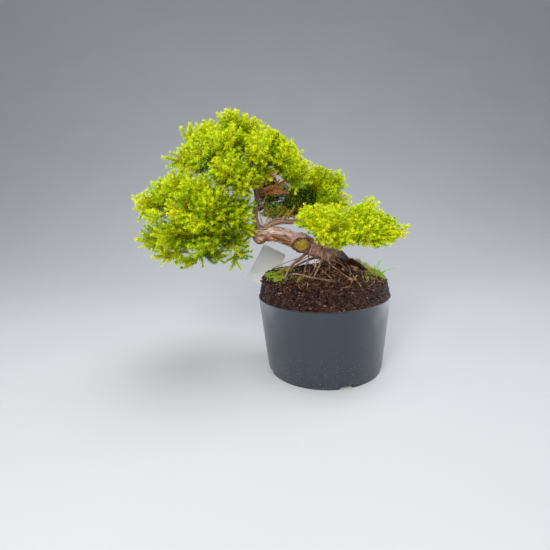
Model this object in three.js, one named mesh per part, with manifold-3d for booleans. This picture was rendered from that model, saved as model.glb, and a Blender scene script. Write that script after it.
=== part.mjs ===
// A Japanese garden juniper trained as a bonsai, in a cut-down nursery pot with a plant label.
// Millimetres, +Z up. The origin is the middle of the pot's underside, and the front of the tree faces -Y.

import * as THREE from "three";
import { mergeVertices } from "three/addons/utils/BufferGeometryUtils.js";
import Module from "manifold-3d";

const wasm = await Module();
wasm.setup();

const UP = new THREE.Vector3(0, 0, 1);
const GAP = 0.3; // the space left between two pieces that touch

// Shared shape code

const vec = (p) => new THREE.Vector3(...p);

// A closed geometry as a solid that can be joined and cut.
function solidOf(geometry) {
  const bare = geometry.clone();
  bare.deleteAttribute("normal");
  bare.deleteAttribute("uv");
  const merged = mergeVertices(bare, 1e-4);
  return new wasm.Manifold(
    new wasm.Mesh({
      numProp: 3,
      vertProperties: merged.attributes.position.array,
      triVerts: new Uint32Array(merged.index.array),
    }),
  );
}

// The solid as a geometry again.
function geometryOf(solid) {
  const mesh = solid.getMesh();
  const geometry = new THREE.BufferGeometry();
  geometry.setAttribute("position", new THREE.BufferAttribute(mesh.vertProperties, mesh.numProp));
  geometry.setIndex(new THREE.BufferAttribute(mesh.triVerts, 1));
  geometry.computeVertexNormals();
  return geometry;
}

// The largest body of a solid: loose scraps that a cut leaves are dropped.
function largestBody(solid) {
  return solid.decompose().reduce((most, body) => (body.volume() > most.volume() ? body : most));
}

// Repeatable random numbers from 0 to 1.
function seededDraw(seed) {
  let state = seed;
  return () => {
    state = (state + 0x6d2b79f5) | 0;
    let t = Math.imul(state ^ (state >>> 15), 1 | state);
    t = (t + Math.imul(t ^ (t >>> 7), 61 | t)) ^ t;
    return ((t ^ (t >>> 14)) >>> 0) / 4294967296;
  };
}

// A round limb or root along a smooth curve: a cylinder whose rings are moved onto the curve.
function bentTube(curve, radiusAt, sides, steps) {
  const geometry = new THREE.CylinderGeometry(1, 1, 1, sides, steps);
  const frames = curve.computeFrenetFrames(steps, false);
  const position = geometry.attributes.position;
  const corner = new THREE.Vector3();
  for (let i = 0; i < position.count; i++) {
    corner.fromBufferAttribute(position, i);
    const along = corner.y + 0.5;
    const ring = Math.round(along * steps);
    const angle = Math.atan2(corner.z, corner.x);
    const radius = radiusAt(along, angle) * Math.hypot(corner.x, corner.z);
    const place = curve.getPointAt(Math.min(1, Math.max(0, along)));
    place.addScaledVector(frames.normals[ring], Math.cos(angle) * radius);
    place.addScaledVector(frames.binormals[ring], -Math.sin(angle) * radius);
    position.setXYZ(i, place.x, place.y, place.z);
  }
  return solidOf(geometry);
}

const smooth = (points) => new THREE.CatmullRomCurve3(points.map(vec), false, "centripetal");

// Pot: a thin moulded nursery pot, cut off level at the top. Its foot is a ring with drain slots,
// and inside the ring the base is a raised channel with round drain holes.

const POT = {
  rimRadius: 86,
  footRadius: 76,
  height: 101,
  wall: 1.5,
  footHeight: 5,
  footWidth: 4,
  padRadius: 28, // the middle of the base stands on the ground too
  base: 2,
  slots: 4,
  slotWidth: 17.5,
  slotHeight: 4.5,
  slotTurn: -77, // degrees from +X, so that one slot is at the front, a little to the right
  drains: 6,
  drainRadius: 6,
  drainCircle: 52,
  facets: 32,
};
// The wall leans out evenly from the foot to the rim.
const potWallRadius = (z) =>
  POT.footRadius + ((POT.rimRadius - POT.footRadius) * (z - POT.footHeight)) / (POT.height - POT.footHeight);

function makePot() {
  const floor = POT.footHeight + POT.base;
  const profile = [
    [0, 0],
    [POT.padRadius, 0],
    [POT.padRadius + 2, POT.footHeight],
    [POT.footRadius - POT.footWidth - 2, POT.footHeight],
    [POT.footRadius - POT.footWidth, 0],
    [POT.footRadius - 1, 0],
    [POT.footRadius - 0.6, POT.footHeight],
    [POT.footRadius + 0.6, POT.footHeight + 1.5],
    [POT.rimRadius, POT.height],
    [POT.rimRadius - POT.wall, POT.height],
    [potWallRadius(floor) - POT.wall, floor],
    [POT.padRadius + 3, floor],
    [POT.padRadius - 2, POT.base],
    [0, POT.base],
  ].map(([r, z]) => new THREE.Vector2(r, z));
  const shell = new THREE.LatheGeometry(profile, POT.facets).rotateX(Math.PI / 2);
  const cutters = [];
  for (let i = 0; i < POT.slots; i++) {
    const slot = new THREE.BoxGeometry(14, POT.slotWidth, 2 * POT.slotHeight);
    slot.translate(POT.footRadius - 2, 0, 0);
    slot.rotateZ(THREE.MathUtils.degToRad(POT.slotTurn + (360 * i) / POT.slots));
    cutters.push(solidOf(slot));
  }
  for (let i = 0; i < POT.drains; i++) {
    const drain = new THREE.CylinderGeometry(POT.drainRadius, POT.drainRadius, 8, 8).rotateX(Math.PI / 2);
    drain.translate(POT.drainCircle, 0, floor - POT.base / 2);
    drain.rotateZ((2 * Math.PI * (i + 0.5)) / POT.drains);
    cutters.push(solidOf(drain));
  }
  return solidOf(shell).subtract(wasm.Manifold.union(cutters));
}

// Soil: the root ball, which fills the pot and stands above its rim. The top is a plateau that
// rises to the trunk, and at the front the soil is raked down to the rim.

const SOIL = {
  plateau: 127,
  mound: 11, // the rise at the trunk
  moundAt: [24, 12],
  moundSpread: 34,
  rakeFrom: -26, // in front of this the top slopes down
  rake: 0.45,
  shoulder: 80, // the radius of the plateau's edge
  lump: 1.3,
};

function soilTop(x, y) {
  const away = Math.hypot(x - SOIL.moundAt[0], y - SOIL.moundAt[1]);
  const mound = SOIL.mound * Math.exp(-(away * away) / (2 * SOIL.moundSpread ** 2));
  const front = Math.max(0, SOIL.rakeFrom - y) * SOIL.rake;
  const right = Math.max(0, x - 38) * 0.16;
  const back = Math.max(0, y - 45) * 0.12;
  const lumps = SOIL.lump * Math.sin(x / 7.5 + 1.3 * Math.sin(y / 9)) * Math.cos(y / 8 - 0.7 * Math.sin(x / 11));
  return SOIL.plateau + mound - front - right - back + lumps;
}

function makeSoil() {
  const inside = (z) => potWallRadius(z) - POT.wall - GAP;
  const bottom = POT.footHeight + POT.base + GAP;
  const rim = POT.height - 1;
  const rings = [73, 60, 46, 31, 15];
  const profile = [
    [0, POT.base + GAP],
    [POT.padRadius - 2.3, POT.base + GAP], // the soil also fills the dish of the base pad
    [POT.padRadius + 2.7, bottom],
    [inside(bottom), bottom],
    [inside(rim), rim],
    [SOIL.shoulder, rim],
  ];
  rings.forEach((r) => profile.push([r, rim]));
  profile.push([0, rim]);
  const ball = new THREE.LatheGeometry(
    profile.map(([r, z]) => new THREE.Vector2(r, z)),
    POT.facets,
  ).rotateX(Math.PI / 2);
  const position = ball.attributes.position;
  for (let i = 0; i < position.count; i++) {
    const [x, y, z] = [position.getX(i), position.getY(i), position.getZ(i)];
    if (z > rim - 0.5 && Math.hypot(x, y) < SOIL.shoulder + 0.5)
      position.setZ(i, Math.max(rim + 0.5, soilTop(x, y)));
  }
  return solidOf(ball);
}

// Trunk and limbs: one grown piece of wood. Each route is a list of points with the radius there.

const TRUNK = [
  [28, 10, 98, 13],
  [27, 8, 116, 15.5],
  [24, 5, 131, 17],
  [15, 1, 146, 15],
  [2, -3, 157, 13.2],
  [-14, -6, 164, 12.4],
  [-32, -8, 171.5, 11.4],
  [-49, -9, 179, 10.4],
  [-62, -10, 183, 10],
  [-76, -10, 184, 9.8],
  [-87, -10, 186, 8.2],
  [-97, -9, 190, 5.6],
];
const STUB = { from: [-28, -7, 172.5], facing: [-0.1, -0.98, -0.16], radius: 11.6, reach: 17 };
const BURR = { at: [-80, -11, 178], size: [9, 8, 7] };

// Each limb bears sprays. Their tips are where the outermost shoots end, and the sprays leave the limb
// in order, evenly spaced from bearsFrom, a share of its length, to its end.
const LIMBS = {
  crown: {
    route: [
      [-80, -9, 187], [-86, -6, 203], [-82, -3, 226], [-84, 0, 240], [-93, 3, 256], [-104, 4, 272],
      [-110, 3, 288],
    ],
    radius: [4.6, 1.9],
    bearsFrom: 0.8,
    tips: [[-85, 13, 321], [-113, -59, 289], [-123, 49, 306], [-107, -5, 327]],
  },
  crown_left: {
    route: [[-101, 4, 268], [-120, 5, 275], [-141, 4, 277]],
    radius: [2.4, 1.5],
    bearsFrom: 0.4,
    tips: [[-146, -54, 276], [-170, 52, 288], [-147, -14, 309], [-167, 12, 293], [-186, -13, 270]],
  },
  crown_right: {
    route: [[-91, 3, 253], [-77, 3, 263], [-60, 1, 270]],
    radius: [2.4, 1.5],
    bearsFrom: 0.3,
    tips: [[-74, -54, 280], [-64, 50, 284], [-61, -7, 304], [-28, -18, 259], [-36, 2, 282]],
  },
  crown_front: {
    route: [[-84, 0, 240], [-94, -16, 243], [-102, -30, 244]],
    radius: [2.1, 1.5],
    bearsFrom: 0.6,
    tips: [[-99, -54, 235], [-120, -71, 258]],
  },
  crown_back: {
    route: [[-84, 0, 240], [-89, 17, 242], [-95, 32, 243]],
    radius: [2.1, 1.5],
    bearsFrom: 0.5,
    tips: [[-56, 42, 216], [-108, 68, 255]],
  },
  arm: {
    route: [[-83, -1, 234], [-68, -3, 240], [-50, -4, 245]],
    radius: [1.8, 1.4],
    bearsFrom: 0.8,
    tips: [[-15, -6, 255]],
  },
  left: {
    route: [[-88, -9, 191], [-110, -9, 197], [-134, -7, 204], [-158, -5, 210], [-176, -4, 214]],
    radius: [4.4, 1.7],
    bearsFrom: 0.55,
    tips: [[-186, -30, 250], [-203, 55, 238], [-217, 14, 240], [-234, -4, 222]],
  },
  left_front: {
    route: [[-110, -9, 197], [-122, -22, 203], [-134, -34, 207]],
    radius: [2.6, 1.6],
    bearsFrom: 0.25,
    tips: [[-97, -50, 207], [-131, -75, 228], [-152, -73, 199], [-158, -59, 245], [-180, -56, 216]],
  },
  left_low: {
    route: [[-106, -9, 196], [-128, -12, 188], [-150, -13, 182], [-170, -13, 179]],
    radius: [2.9, 1.6],
    bearsFrom: 0.25,
    tips: [
      [-111, -30, 158], [-138, -62, 172], [-162, -23, 147], [-198, -49, 183], [-211, -2, 149],
      [-231, -10, 174],
    ],
  },
  left_back: {
    route: [[-134, -7, 204], [-142, 12, 203], [-150, 28, 200]],
    radius: [2.3, 1.5],
    bearsFrom: 0.6,
    tips: [[-146, 70, 214], [-192, 56, 181]],
  },
  right_back: {
    route: [
      [-76, -7, 190], [-65, -3, 195.5], [-52, 0, 197], [-40, 4, 196], [-28, 9, 197], [-16, 18, 205],
      [-6, 25, 214], [0, 28, 222],
    ],
    radius: [3.4, 1.7],
    bearsFrom: 0.52,
    tips: [[-28, 26, 213], [14, 61, 206], [-29, 41, 232], [35, 16, 213], [-3, 28, 260], [29, 23, 247]],
  },
  right_front: {
    route: [[10, -4, 158], [12, -18, 172], [6, -30, 180]],
    radius: [3, 1.6],
    bearsFrom: 0.5,
    tips: [[26, -52, 175], [7, -39, 210], [-29, -43, 206], [-11, -65, 189]],
  },
  right: {
    route: [[12, 0, 157], [24, -6, 171], [40, -9, 176], [56, -9, 176], [68, -8, 175]],
    radius: [4, 1.6],
    bearsFrom: 0.45,
    tips: [[73, 44, 189], [49, -42, 179], [44, 0, 209], [77, -25, 167], [69, -5, 205], [101, -12, 174]],
  },
};

// Surface roots, with the radius at each end. They leave the trunk's foot and go into the soil.
const ROOTS = [
  {
    route: [
      [-16, -8, 160], [-27, -14, 154], [-38, -19, 148], [-46, -23, 140], [-50, -26, 130],
      [-53, -28, 115],
    ],
    radius: [2, 1.2],
  },
  {
    route: [
      [24, -14, 112], [22, -40, 116], [12, -43, 124], [0, -38, 127], [-20, -32, 130], [-38, -22, 133],
      [-48, -22, 131], [-55, -27, 124], [-58, -29, 112],
    ],
    radius: [1.8, 1.2],
  },
  {
    route: [
      [-12, -10, 166], [-17, -19, 164], [-20, -23, 156], [-24, -25, 146], [-27, -26, 136],
      [-29, -27, 118],
    ],
    radius: [1.2, 1],
  },
  { route: [[2, -8, 150], [6, -17, 144], [20, -25, 135], [30, -35, 128], [36, -41, 116]], radius: [2, 1.3] },
  { route: [[24, 0, 140], [33, -2, 143], [42, -5, 139], [52, -8, 132], [60, -9, 118]], radius: [5, 2] },
  {
    route: [
      [2, 6, 152], [-14, 14, 145], [-30, 22, 137], [-42, 27, 129], [-50, 30, 114],
    ],
    radius: [2.2, 1.2],
  },
  {
    route: [
      [0, -6, 152], [-5, -18, 146], [-10, -24, 138], [-15, -28, 130], [-19, -31, 114],
    ],
    radius: [1.8, 1.1],
  },
  { route: [[32, 16, 136], [42, 30, 136], [50, 42, 131], [56, 52, 116]], radius: [4, 1.6] },
  { route: [[22, -10, 134], [31, -20, 133], [38, -28, 129], [43, -34, 114]], radius: [3, 1.5] },
];

// Bark: shallow lengthwise ridges that swell and die away.
function barkRelief(along, angle, depth) {
  const ridges = Math.sin(5 * angle + 9 * along) + 0.6 * Math.sin(3 * angle - 21 * along + 1);
  return 1 + depth * ridges;
}

// All the wood as one solid, its surface moved out by grow.
function makeWood(grow) {
  const pieces = [];
  const trunkCurve = smooth(TRUNK);
  const trunkRadii = new THREE.CatmullRomCurve3(TRUNK.map(([, , , r], i) => new THREE.Vector3(i, r, 0)));
  const trunkRadius = (along, angle) =>
    trunkRadii.getPointAt(along).y * barkRelief(along, angle, 0.05) + grow;
  pieces.push(bentTube(trunkCurve, trunkRadius, 12, 14));

  const burr = new THREE.IcosahedronGeometry(1, 1);
  burr.scale(...BURR.size.map((half) => half + grow)).translate(...BURR.at);
  pieces.push(solidOf(burr));

  const facing = vec(STUB.facing).normalize();
  const stubEnd = vec(STUB.from).addScaledVector(facing, STUB.reach + grow);
  const stubCurve = new THREE.LineCurve3(vec(STUB.from), stubEnd);
  pieces.push(bentTube(stubCurve, (along) => STUB.radius * (1.06 - 0.06 * along) + grow, 14, 2));

  for (const limb of Object.values(LIMBS)) {
    const [thick, thin] = limb.radius;
    const radius = (along, angle) => (thick + (thin - thick) * along) * barkRelief(along, angle, 0.03) + grow;
    pieces.push(bentTube(smooth(limb.route), radius, 5, Math.ceil(1.5 * (limb.route.length - 1))));
  }
  for (const root of ROOTS) {
    const [thick, thin] = root.radius;
    const radius = (along) => thick + (thin - thick) * along + grow;
    pieces.push(bentTube(smooth(root.route), radius, 4, root.route.length + 1));
  }
  return wasm.Manifold.union(pieces);
}

// Foliage: sprays of needle-clad shoots. A shoot is a slim three-sided core, and every whorl of three
// needles is raised from it, turned half a step from the whorl below.

const NEEDLE = { length: 7.2, lean: 52, core: 0.9, whorl: 5 };
const SPRAY = {
  stem: 1.8, // the radius where a spray leaves its limb
  lift: 0.14, // how far the stem arches up, as a share of its length
  rounds: 3, // side shoots tried on each spray
  turn: 2.4, // radians from one side shoot to the next round the stem
  shoot: [22, 18], // side shoots near the foot and near the tip of a spray
  shootFoot: 1.2,
  end: 19, // how much of the spray's tip is clad with needles
  reach: 6.4, // from a shoot's middle to its needle tips
  bareStep: 15, // the longest stretch of bare stem in one band
};

// One woody shoot from its foot to its tip, bare at first and then clad with needles.
function needledShoot(curve, bare, footRadius) {
  const length = curve.getLength();
  const bareBands = Math.ceil(bare / SPRAY.bareStep);
  const whorls = Math.max(2, Math.round((length - bare) / NEEDLE.whorl));
  const bands = bareBands + whorls;
  const shareAt = (ring) =>
    ring <= bareBands
      ? (bare / length) * (ring / bareBands)
      : bare / length + (1 - bare / length) * ((ring - bareBands) / whorls);
  const fine = 40;
  const frames = curve.computeFrenetFrames(fine, false);
  const frameAt = (ring) => Math.round(shareAt(ring) * fine);
  const lean = THREE.MathUtils.degToRad(NEEDLE.lean);
  const third = (2 * Math.PI) / 3;
  const corners = [];
  const faces = [];
  const add = (point) => corners.push(point) - 1;
  const spoke = (ring, turn, radius) =>
    curve
      .getPointAt(shareAt(ring))
      .addScaledVector(frames.normals[frameAt(ring)], Math.cos(turn) * radius)
      .addScaledVector(frames.binormals[frameAt(ring)], Math.sin(turn) * radius);
  const radiusAt = (ring) => footRadius + (NEEDLE.core - footRadius) * Math.min(1, ring / bareBands);
  const ringOf = (ring) => [0, 1, 2].map((j) => add(spoke(ring, (ring / 2 + j) * third, radiusAt(ring))));
  let lower = ringOf(0);
  faces.push([lower[0], lower[2], lower[1]]);
  for (let ring = 0; ring < bands; ring++) {
    const upper = ringOf(ring + 1);
    for (let j = 0; j < 3; j++) {
      const next = (j + 1) % 3;
      faces.push([upper[j], lower[next], upper[next]]);
      if (ring < bareBands) {
        faces.push([lower[j], lower[next], upper[j]]);
        continue;
      }
      const out = NEEDLE.core * 0.5 + NEEDLE.length * Math.sin(lean);
      const tip = spoke(ring, (ring / 2 + j + 0.5) * third, out);
      const forward = NEEDLE.length * Math.cos(lean) + 0.3 * NEEDLE.whorl;
      const point = add(tip.addScaledVector(frames.tangents[frameAt(ring)], forward));
      faces.push([lower[j], lower[next], point], [lower[next], upper[j], point], [upper[j], lower[j], point]);
    }
    lower = upper;
  }
  const end = add(spoke(bands, 0, 0).addScaledVector(frames.tangents[fine], 0.8 * NEEDLE.length));
  for (let j = 0; j < 3; j++) faces.push([lower[j], lower[(j + 1) % 3], end]);
  const geometry = new THREE.BufferGeometry();
  const positions = corners.flatMap((point) => point.toArray());
  geometry.setAttribute("position", new THREE.Float32BufferAttribute(positions, 3));
  geometry.setIndex(faces.flat());
  return solidOf(geometry);
}

// The least distance between two straight stretches.
function stretchGap(a, b, c, d) {
  const u = b.clone().sub(a);
  const v = d.clone().sub(c);
  const w = a.clone().sub(c);
  const [uu, uv, vv, uw, vw] = [u.dot(u), u.dot(v), v.dot(v), u.dot(w), v.dot(w)];
  const clamp = (x) => Math.min(1, Math.max(0, x));
  const flat = uu * vv - uv * uv;
  let s = flat > 1e-9 ? clamp((uv * vw - vv * uw) / flat) : 0;
  const t = clamp((uv * s + vw) / vv);
  s = clamp((uv * t - uw) / uu);
  return w.addScaledVector(u, s).addScaledVector(v, -t).length();
}

// What is already placed: straight stretches, each with its reach and its owner.
const taken = [];
function stretches(curve, count) {
  const points = curve.getPoints(count);
  return points.slice(1).map((end, i) => [points[i], end]);
}
function isClear(curve, count, reach, owner) {
  return stretches(curve, count).every(([a, b]) =>
    taken.every((other) => {
      const room = other.owner === owner ? other.reach : reach + other.reach + GAP;
      return stretchGap(a, b, other.a, other.b) >= room;
    }),
  );
}
function take(curve, count, reach, owner) {
  stretches(curve, count).forEach(([a, b]) => taken.push({ a, b, reach, owner }));
}

// The stem of each spray: an arch from its limb to its tip.
function stemCurve(foot, tip) {
  const middle = foot.clone().lerp(tip, 0.5).addScaledVector(UP, foot.distanceTo(tip) * SPRAY.lift);
  return new THREE.QuadraticBezierCurve3(foot, middle, tip);
}

function layOutSprays() {
  const sprays = [];
  for (const [limbName, limb] of Object.entries(LIMBS)) {
    const limbCurve = smooth(limb.route);
    limb.tips.forEach((tip, i) => {
      const share = limb.bearsFrom + ((1 - limb.bearsFrom) * (i + 0.5)) / limb.tips.length;
      const curve = stemCurve(limbCurve.getPointAt(Math.min(share, 0.985)), vec(tip));
      const length = curve.getLength();
      const bare = Math.max(0.3 * length, length - SPRAY.end);
      sprays.push({ name: `spray_${limbName}_${i + 1}`, curve, length, bare, shoots: [] });
    });
  }
  return sprays;
}

// Side shoots are drawn at random round each stem and kept where they clear every other spray.
function growShoots(sprays) {
  sprays.forEach((spray) => {
    const clad = spray.curve.getPointAt(spray.bare / spray.length);
    take(new THREE.LineCurve3(clad, spray.curve.getPointAt(1)), 1, SPRAY.reach, spray.name);
    take(new THREE.LineCurve3(spray.curve.getPointAt(0.15), clad), 1, SPRAY.stem, spray.name);
  });
  for (let round = 0; round < SPRAY.rounds; round++)
    sprays.forEach((spray, i) => {
      const draw = seededDraw(1000 * (round + 1) + i);
      for (let attempt = 0; attempt < 60; attempt++) {
        const share = 0.35 + (0.5 * (round + draw())) / SPRAY.rounds;
        const foot = spray.curve.getPointAt(share);
        const ahead = spray.curve.getTangentAt(share);
        const aside = new THREE.Vector3().crossVectors(ahead, UP).normalize();
        const above = new THREE.Vector3().crossVectors(aside, ahead);
        const turn = SPRAY.turn * round + (draw() - 0.5) * (1 + attempt * 0.09);
        const out = aside.multiplyScalar(Math.cos(turn)).addScaledVector(above, Math.sin(turn) + 0.35);
        out.normalize();
        const length = (SPRAY.shoot[0] + (SPRAY.shoot[1] - SPRAY.shoot[0]) * share) * (1 - attempt * 0.004);
        const way = ahead.clone().multiplyScalar(0.62).addScaledVector(out, 0.78).normalize();
        const middle = foot.clone().addScaledVector(way, length * 0.5);
        const tip = middle.clone().addScaledVector(way.addScaledVector(UP, 0.35).normalize(), length * 0.5);
        const curve = new THREE.QuadraticBezierCurve3(foot, middle, tip);
        const outerPart = new THREE.LineCurve3(curve.getPointAt(0.4), tip);
        if (!isClear(outerPart, 1, SPRAY.reach, spray.name)) continue;
        take(outerPart, 1, SPRAY.reach, spray.name);
        spray.shoots.push(curve);
        break;
      }
    });
}

function makeSpray(spray, wood) {
  const main = needledShoot(spray.curve, spray.bare, SPRAY.stem);
  const side = spray.shoots.map((curve) => needledShoot(curve, NEEDLE.whorl, SPRAY.shootFoot));
  return largestBody(wasm.Manifold.union([main, ...side]).subtract(wood));
}

// Plant label: a flat plastic T whose stem is pushed into the soil at the back on the left, so that
// the head leans over beside the pot.

const LABEL = {
  head: [58, 36],
  corner: 4,
  thickness: 0.9,
  stem: [11, 52],
  at: [-76, 57, 128], // the middle of the head
  lean: -61, // degrees that the stem is turned from straight down, seen from the front
  tip: 6, // degrees that the head is tipped back
};

function makeLabel(grow) {
  const [width, height] = LABEL.head.map((side) => side / 2 + grow);
  const stemHalf = LABEL.stem[0] / 2 + grow;
  const r = LABEL.corner;
  const outline = new THREE.Shape();
  outline.moveTo(-width + r, height);
  outline.absarc(-width + r, height - r, r, Math.PI / 2, Math.PI);
  outline.absarc(-width + r, -height + r, r, Math.PI, 1.5 * Math.PI);
  outline.lineTo(-stemHalf, -height);
  outline.lineTo(-stemHalf, -height - LABEL.stem[1] + 8 - grow);
  outline.lineTo(0, -height - LABEL.stem[1] - grow);
  outline.lineTo(stemHalf, -height - LABEL.stem[1] + 8 - grow);
  outline.lineTo(stemHalf, -height);
  outline.absarc(width - r, -height + r, r, 1.5 * Math.PI, 2 * Math.PI);
  outline.absarc(width - r, height - r, r, 0, Math.PI / 2);
  const depth = LABEL.thickness + 2 * grow;
  const plate = new THREE.ExtrudeGeometry(outline, { depth, bevelEnabled: false, curveSegments: 2 });
  plate.translate(0, 0, -depth / 2);
  // The plate is drawn face on, then stood up facing the front, leaned over and set in place.
  plate.rotateX(Math.PI / 2);
  plate.rotateY(THREE.MathUtils.degToRad(LABEL.lean));
  plate.rotateX(THREE.MathUtils.degToRad(LABEL.tip));
  plate.translate(...LABEL.at);
  return solidOf(plate);
}

// Grass: a weed tuft at the right of the trunk. Its blades rise from one crown in the soil.

const GRASS = {
  at: [70, 4, 119],
  blades: [
    { to: [4, -3, 17], bend: [1, -1, 10] },
    { to: [15, -4, 10], bend: [5, -1, 9] },
    { to: [-4, -2, 12], bend: [-1, -1, 7] },
    { to: [9, 3, 13], bend: [3, 1, 8] },
  ],
  width: 0.75,
};

function makeGrass(grow) {
  const at = vec(GRASS.at);
  const crown = new THREE.CylinderGeometry(1.6 + grow, 1.1 + grow, 9 + grow, 5).rotateX(Math.PI / 2);
  crown.translate(at.x, at.y, at.z - 3);
  const blades = GRASS.blades.map(({ to, bend }) => {
    const curve = new THREE.QuadraticBezierCurve3(at, vec(bend).add(at), vec(to).add(at));
    return bentTube(curve, (along) => GRASS.width * (1 - 0.45 * along) + grow, 3, 3);
  });
  return wasm.Manifold.union([solidOf(crown), ...blades]);
}

// Dead twigs: two sprays inside the crown whose needles have dried brown.
const DEAD_TWIGS = [
  { foot: [-82.6, -1.6, 229], tip: [-48, -17, 233] },
  { foot: [-85.5, 0.6, 243], tip: [-58, -15, 252] },
];

// Put together

const bonsai = new THREE.Group();
function place(name, solid, color, roughness) {
  const material = new THREE.MeshStandardMaterial({ color, roughness, metalness: 0 });
  const mesh = new THREE.Mesh(geometryOf(solid), material);
  mesh.name = name;
  bonsai.add(mesh);
}

const wood = makeWood(0);
const woodRoom = makeWood(GAP);

place("pot", makePot(), 0x3c444d, 0.45);
const soil = makeSoil().subtract(woodRoom).subtract(makeLabel(GAP)).subtract(makeGrass(GAP));
place("soil", largestBody(soil), 0x3a2c26, 0.95);
place("trunk", wood, 0x9a7660, 0.85);
place("plant_label", makeLabel(0), 0xd9dbd8, 0.4);
place("grass_tuft", makeGrass(0), 0x6f9a2c, 0.6);

// The wood and the dead twigs take their room first, and then the sprays are fitted round them.
for (const [name, limb] of Object.entries(LIMBS)) take(smooth(limb.route), 6, limb.radius[0] * 0.8, name);
take(smooth(TRUNK), 10, 9, "trunk");
DEAD_TWIGS.forEach(({ foot, tip }, i) => {
  const name = `dead_spray_${i + 1}`;
  const curve = stemCurve(vec(foot), vec(tip));
  take(new THREE.LineCurve3(curve.getPointAt(0.3), curve.getPointAt(1)), 1, SPRAY.reach, name);
  place(name, makeSpray({ curve, bare: 0.3 * curve.getLength(), shoots: [] }, woodRoom), 0xa8602f, 0.8);
});

const sprays = layOutSprays();
growShoots(sprays);
for (const spray of sprays) place(spray.name, makeSpray(spray, woodRoom), 0x8fae1e, 0.6);

export default bonsai;
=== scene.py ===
# Japanese garden juniper trained as a bonsai, in a cut-down nursery pot with a blank plant label.
# Metres, +Z up. The origin is the middle of the pot's underside, and the front of the tree faces -Y.
# Lists of places along wood, roots and sprays are in millimetres.

import math
import random

import bmesh
import bpy
from mathutils import Matrix, Vector, noise
from mathutils.kdtree import KDTree


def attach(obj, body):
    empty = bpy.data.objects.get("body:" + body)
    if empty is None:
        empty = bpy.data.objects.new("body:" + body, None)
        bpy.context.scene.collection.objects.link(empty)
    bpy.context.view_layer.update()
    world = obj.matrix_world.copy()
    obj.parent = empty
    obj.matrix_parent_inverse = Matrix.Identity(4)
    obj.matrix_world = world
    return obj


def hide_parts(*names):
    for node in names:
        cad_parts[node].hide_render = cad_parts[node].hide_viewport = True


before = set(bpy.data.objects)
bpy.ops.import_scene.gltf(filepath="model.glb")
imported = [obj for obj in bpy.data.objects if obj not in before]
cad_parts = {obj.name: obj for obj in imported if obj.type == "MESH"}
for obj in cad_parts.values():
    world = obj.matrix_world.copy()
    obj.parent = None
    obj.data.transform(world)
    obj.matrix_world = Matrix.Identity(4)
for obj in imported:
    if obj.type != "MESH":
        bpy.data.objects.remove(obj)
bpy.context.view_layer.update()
scene = bpy.context.scene
MM = 0.001

# Camera
# It stands half a metre in front of the pot, a little below the crown, tilted down and slightly
# rolled to the left, with a field of view as wide as a phone's.
CAMERA_AT = Vector((-0.0635, -0.5124, 0.2416))
CAMERA_DOWN = math.radians(12.53)
CAMERA_ROLL = math.radians(-2.2)
FOCAL_PIXELS = 400.1
FRAME_PIXELS = 550


def placed(name, data):
    """A new object in the scene that shows the data."""
    made = bpy.data.objects.new(name, data)
    scene.collection.objects.link(made)
    return made


lens = bpy.data.cameras.new("camera")
lens.sensor_width = 36
lens.lens = lens.sensor_width * FOCAL_PIXELS / FRAME_PIXELS
lens.clip_start = 0.01
camera = placed("camera", lens)
aim = Matrix.Rotation(math.pi / 2 - CAMERA_DOWN, 4, "X") @ Matrix.Rotation(CAMERA_ROLL, 4, "Z")
camera.matrix_world = Matrix.Translation(CAMERA_AT) @ aim
scene.camera = camera
scene.view_settings.view_transform = "Standard"

# Pot
# A thin nursery pot of dark grey polypropylene, injection moulded and cut off level at the top.
# Its foot is a ring with drain slots, and the raised base inside it has round drain holes.
RIM_RADIUS = 0.086
FOOT_RADIUS = 0.076
POT_HEIGHT = 0.101
POT_WALL = 0.0015
POT_LIP = 0.0004
FOOT_HEIGHT = 0.005
FOOT_WIDTH = 0.004
PAD_RADIUS = 0.028
POT_BASE = 0.002
BASE_TOP = FOOT_HEIGHT + POT_BASE
SLOT_SIZE = (0.014, 0.0175, 0.009)  # through the foot, along it and up, half of it below the floor
SLOT_TURNS = [math.radians(-77 + 90 * i) for i in range(4)]
DRAIN_HOLES = 6
DRAIN_RADIUS = 0.006
DRAIN_DEPTH = 0.008
DRAIN_CIRCLE = 0.052


def linear(code):
    """An sRGB hex colour as linear red, green, blue and alpha."""
    parts = [int(code[i : i + 2], 16) / 255 for i in (1, 3, 5)]
    return (*[p / 12.92 if p <= 0.04045 else ((p + 0.055) / 1.055) ** 2.4 for p in parts], 1)


def new_material(name, **values):
    """A material, with values for its main shader's sockets."""
    material = bpy.data.materials.new(name)
    material.use_nodes = True
    for socket, value in values.items():
        material.node_tree.nodes["Principled BSDF"].inputs[socket.replace("_", " ")].default_value = value
    return material


def add(material, kind, inputs=None, stops=(), out=0, to=None, **settings):
    """Adds a node with its settings and returns its output, which may go to the main shader's socket.
    Each input is a value, a hex colour or the output that is linked to it."""
    tree = material.node_tree
    made = tree.nodes.new("ShaderNode" + kind)
    for name, value in settings.items():
        setattr(made, name, value)
    for socket, value in (inputs or {}).items():
        if isinstance(value, bpy.types.NodeSocket):
            tree.links.new(value, made.inputs[socket])
        else:
            made.inputs[socket].default_value = linear(value) if isinstance(value, str) else value
    if stops:
        ramp = made.color_ramp.elements
        while len(ramp) < len(stops):
            ramp.new(1)
        for element, (position, code) in zip(ramp, stops):
            element.position = position
            element.color = linear(code)
    if to:
        tree.links.new(made.outputs[out], tree.nodes["Principled BSDF"].inputs[to])
    return made.outputs[out]


BLEND = {"out": 2, "data_type": "RGBA"}  # what makes a Mix node mix two colours


def meshed(bm, name):
    """A bmesh's shape as a mesh. The bmesh is freed."""
    mesh = bpy.data.meshes.new(name)
    bm.to_mesh(mesh)
    bm.free()
    return mesh


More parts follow.
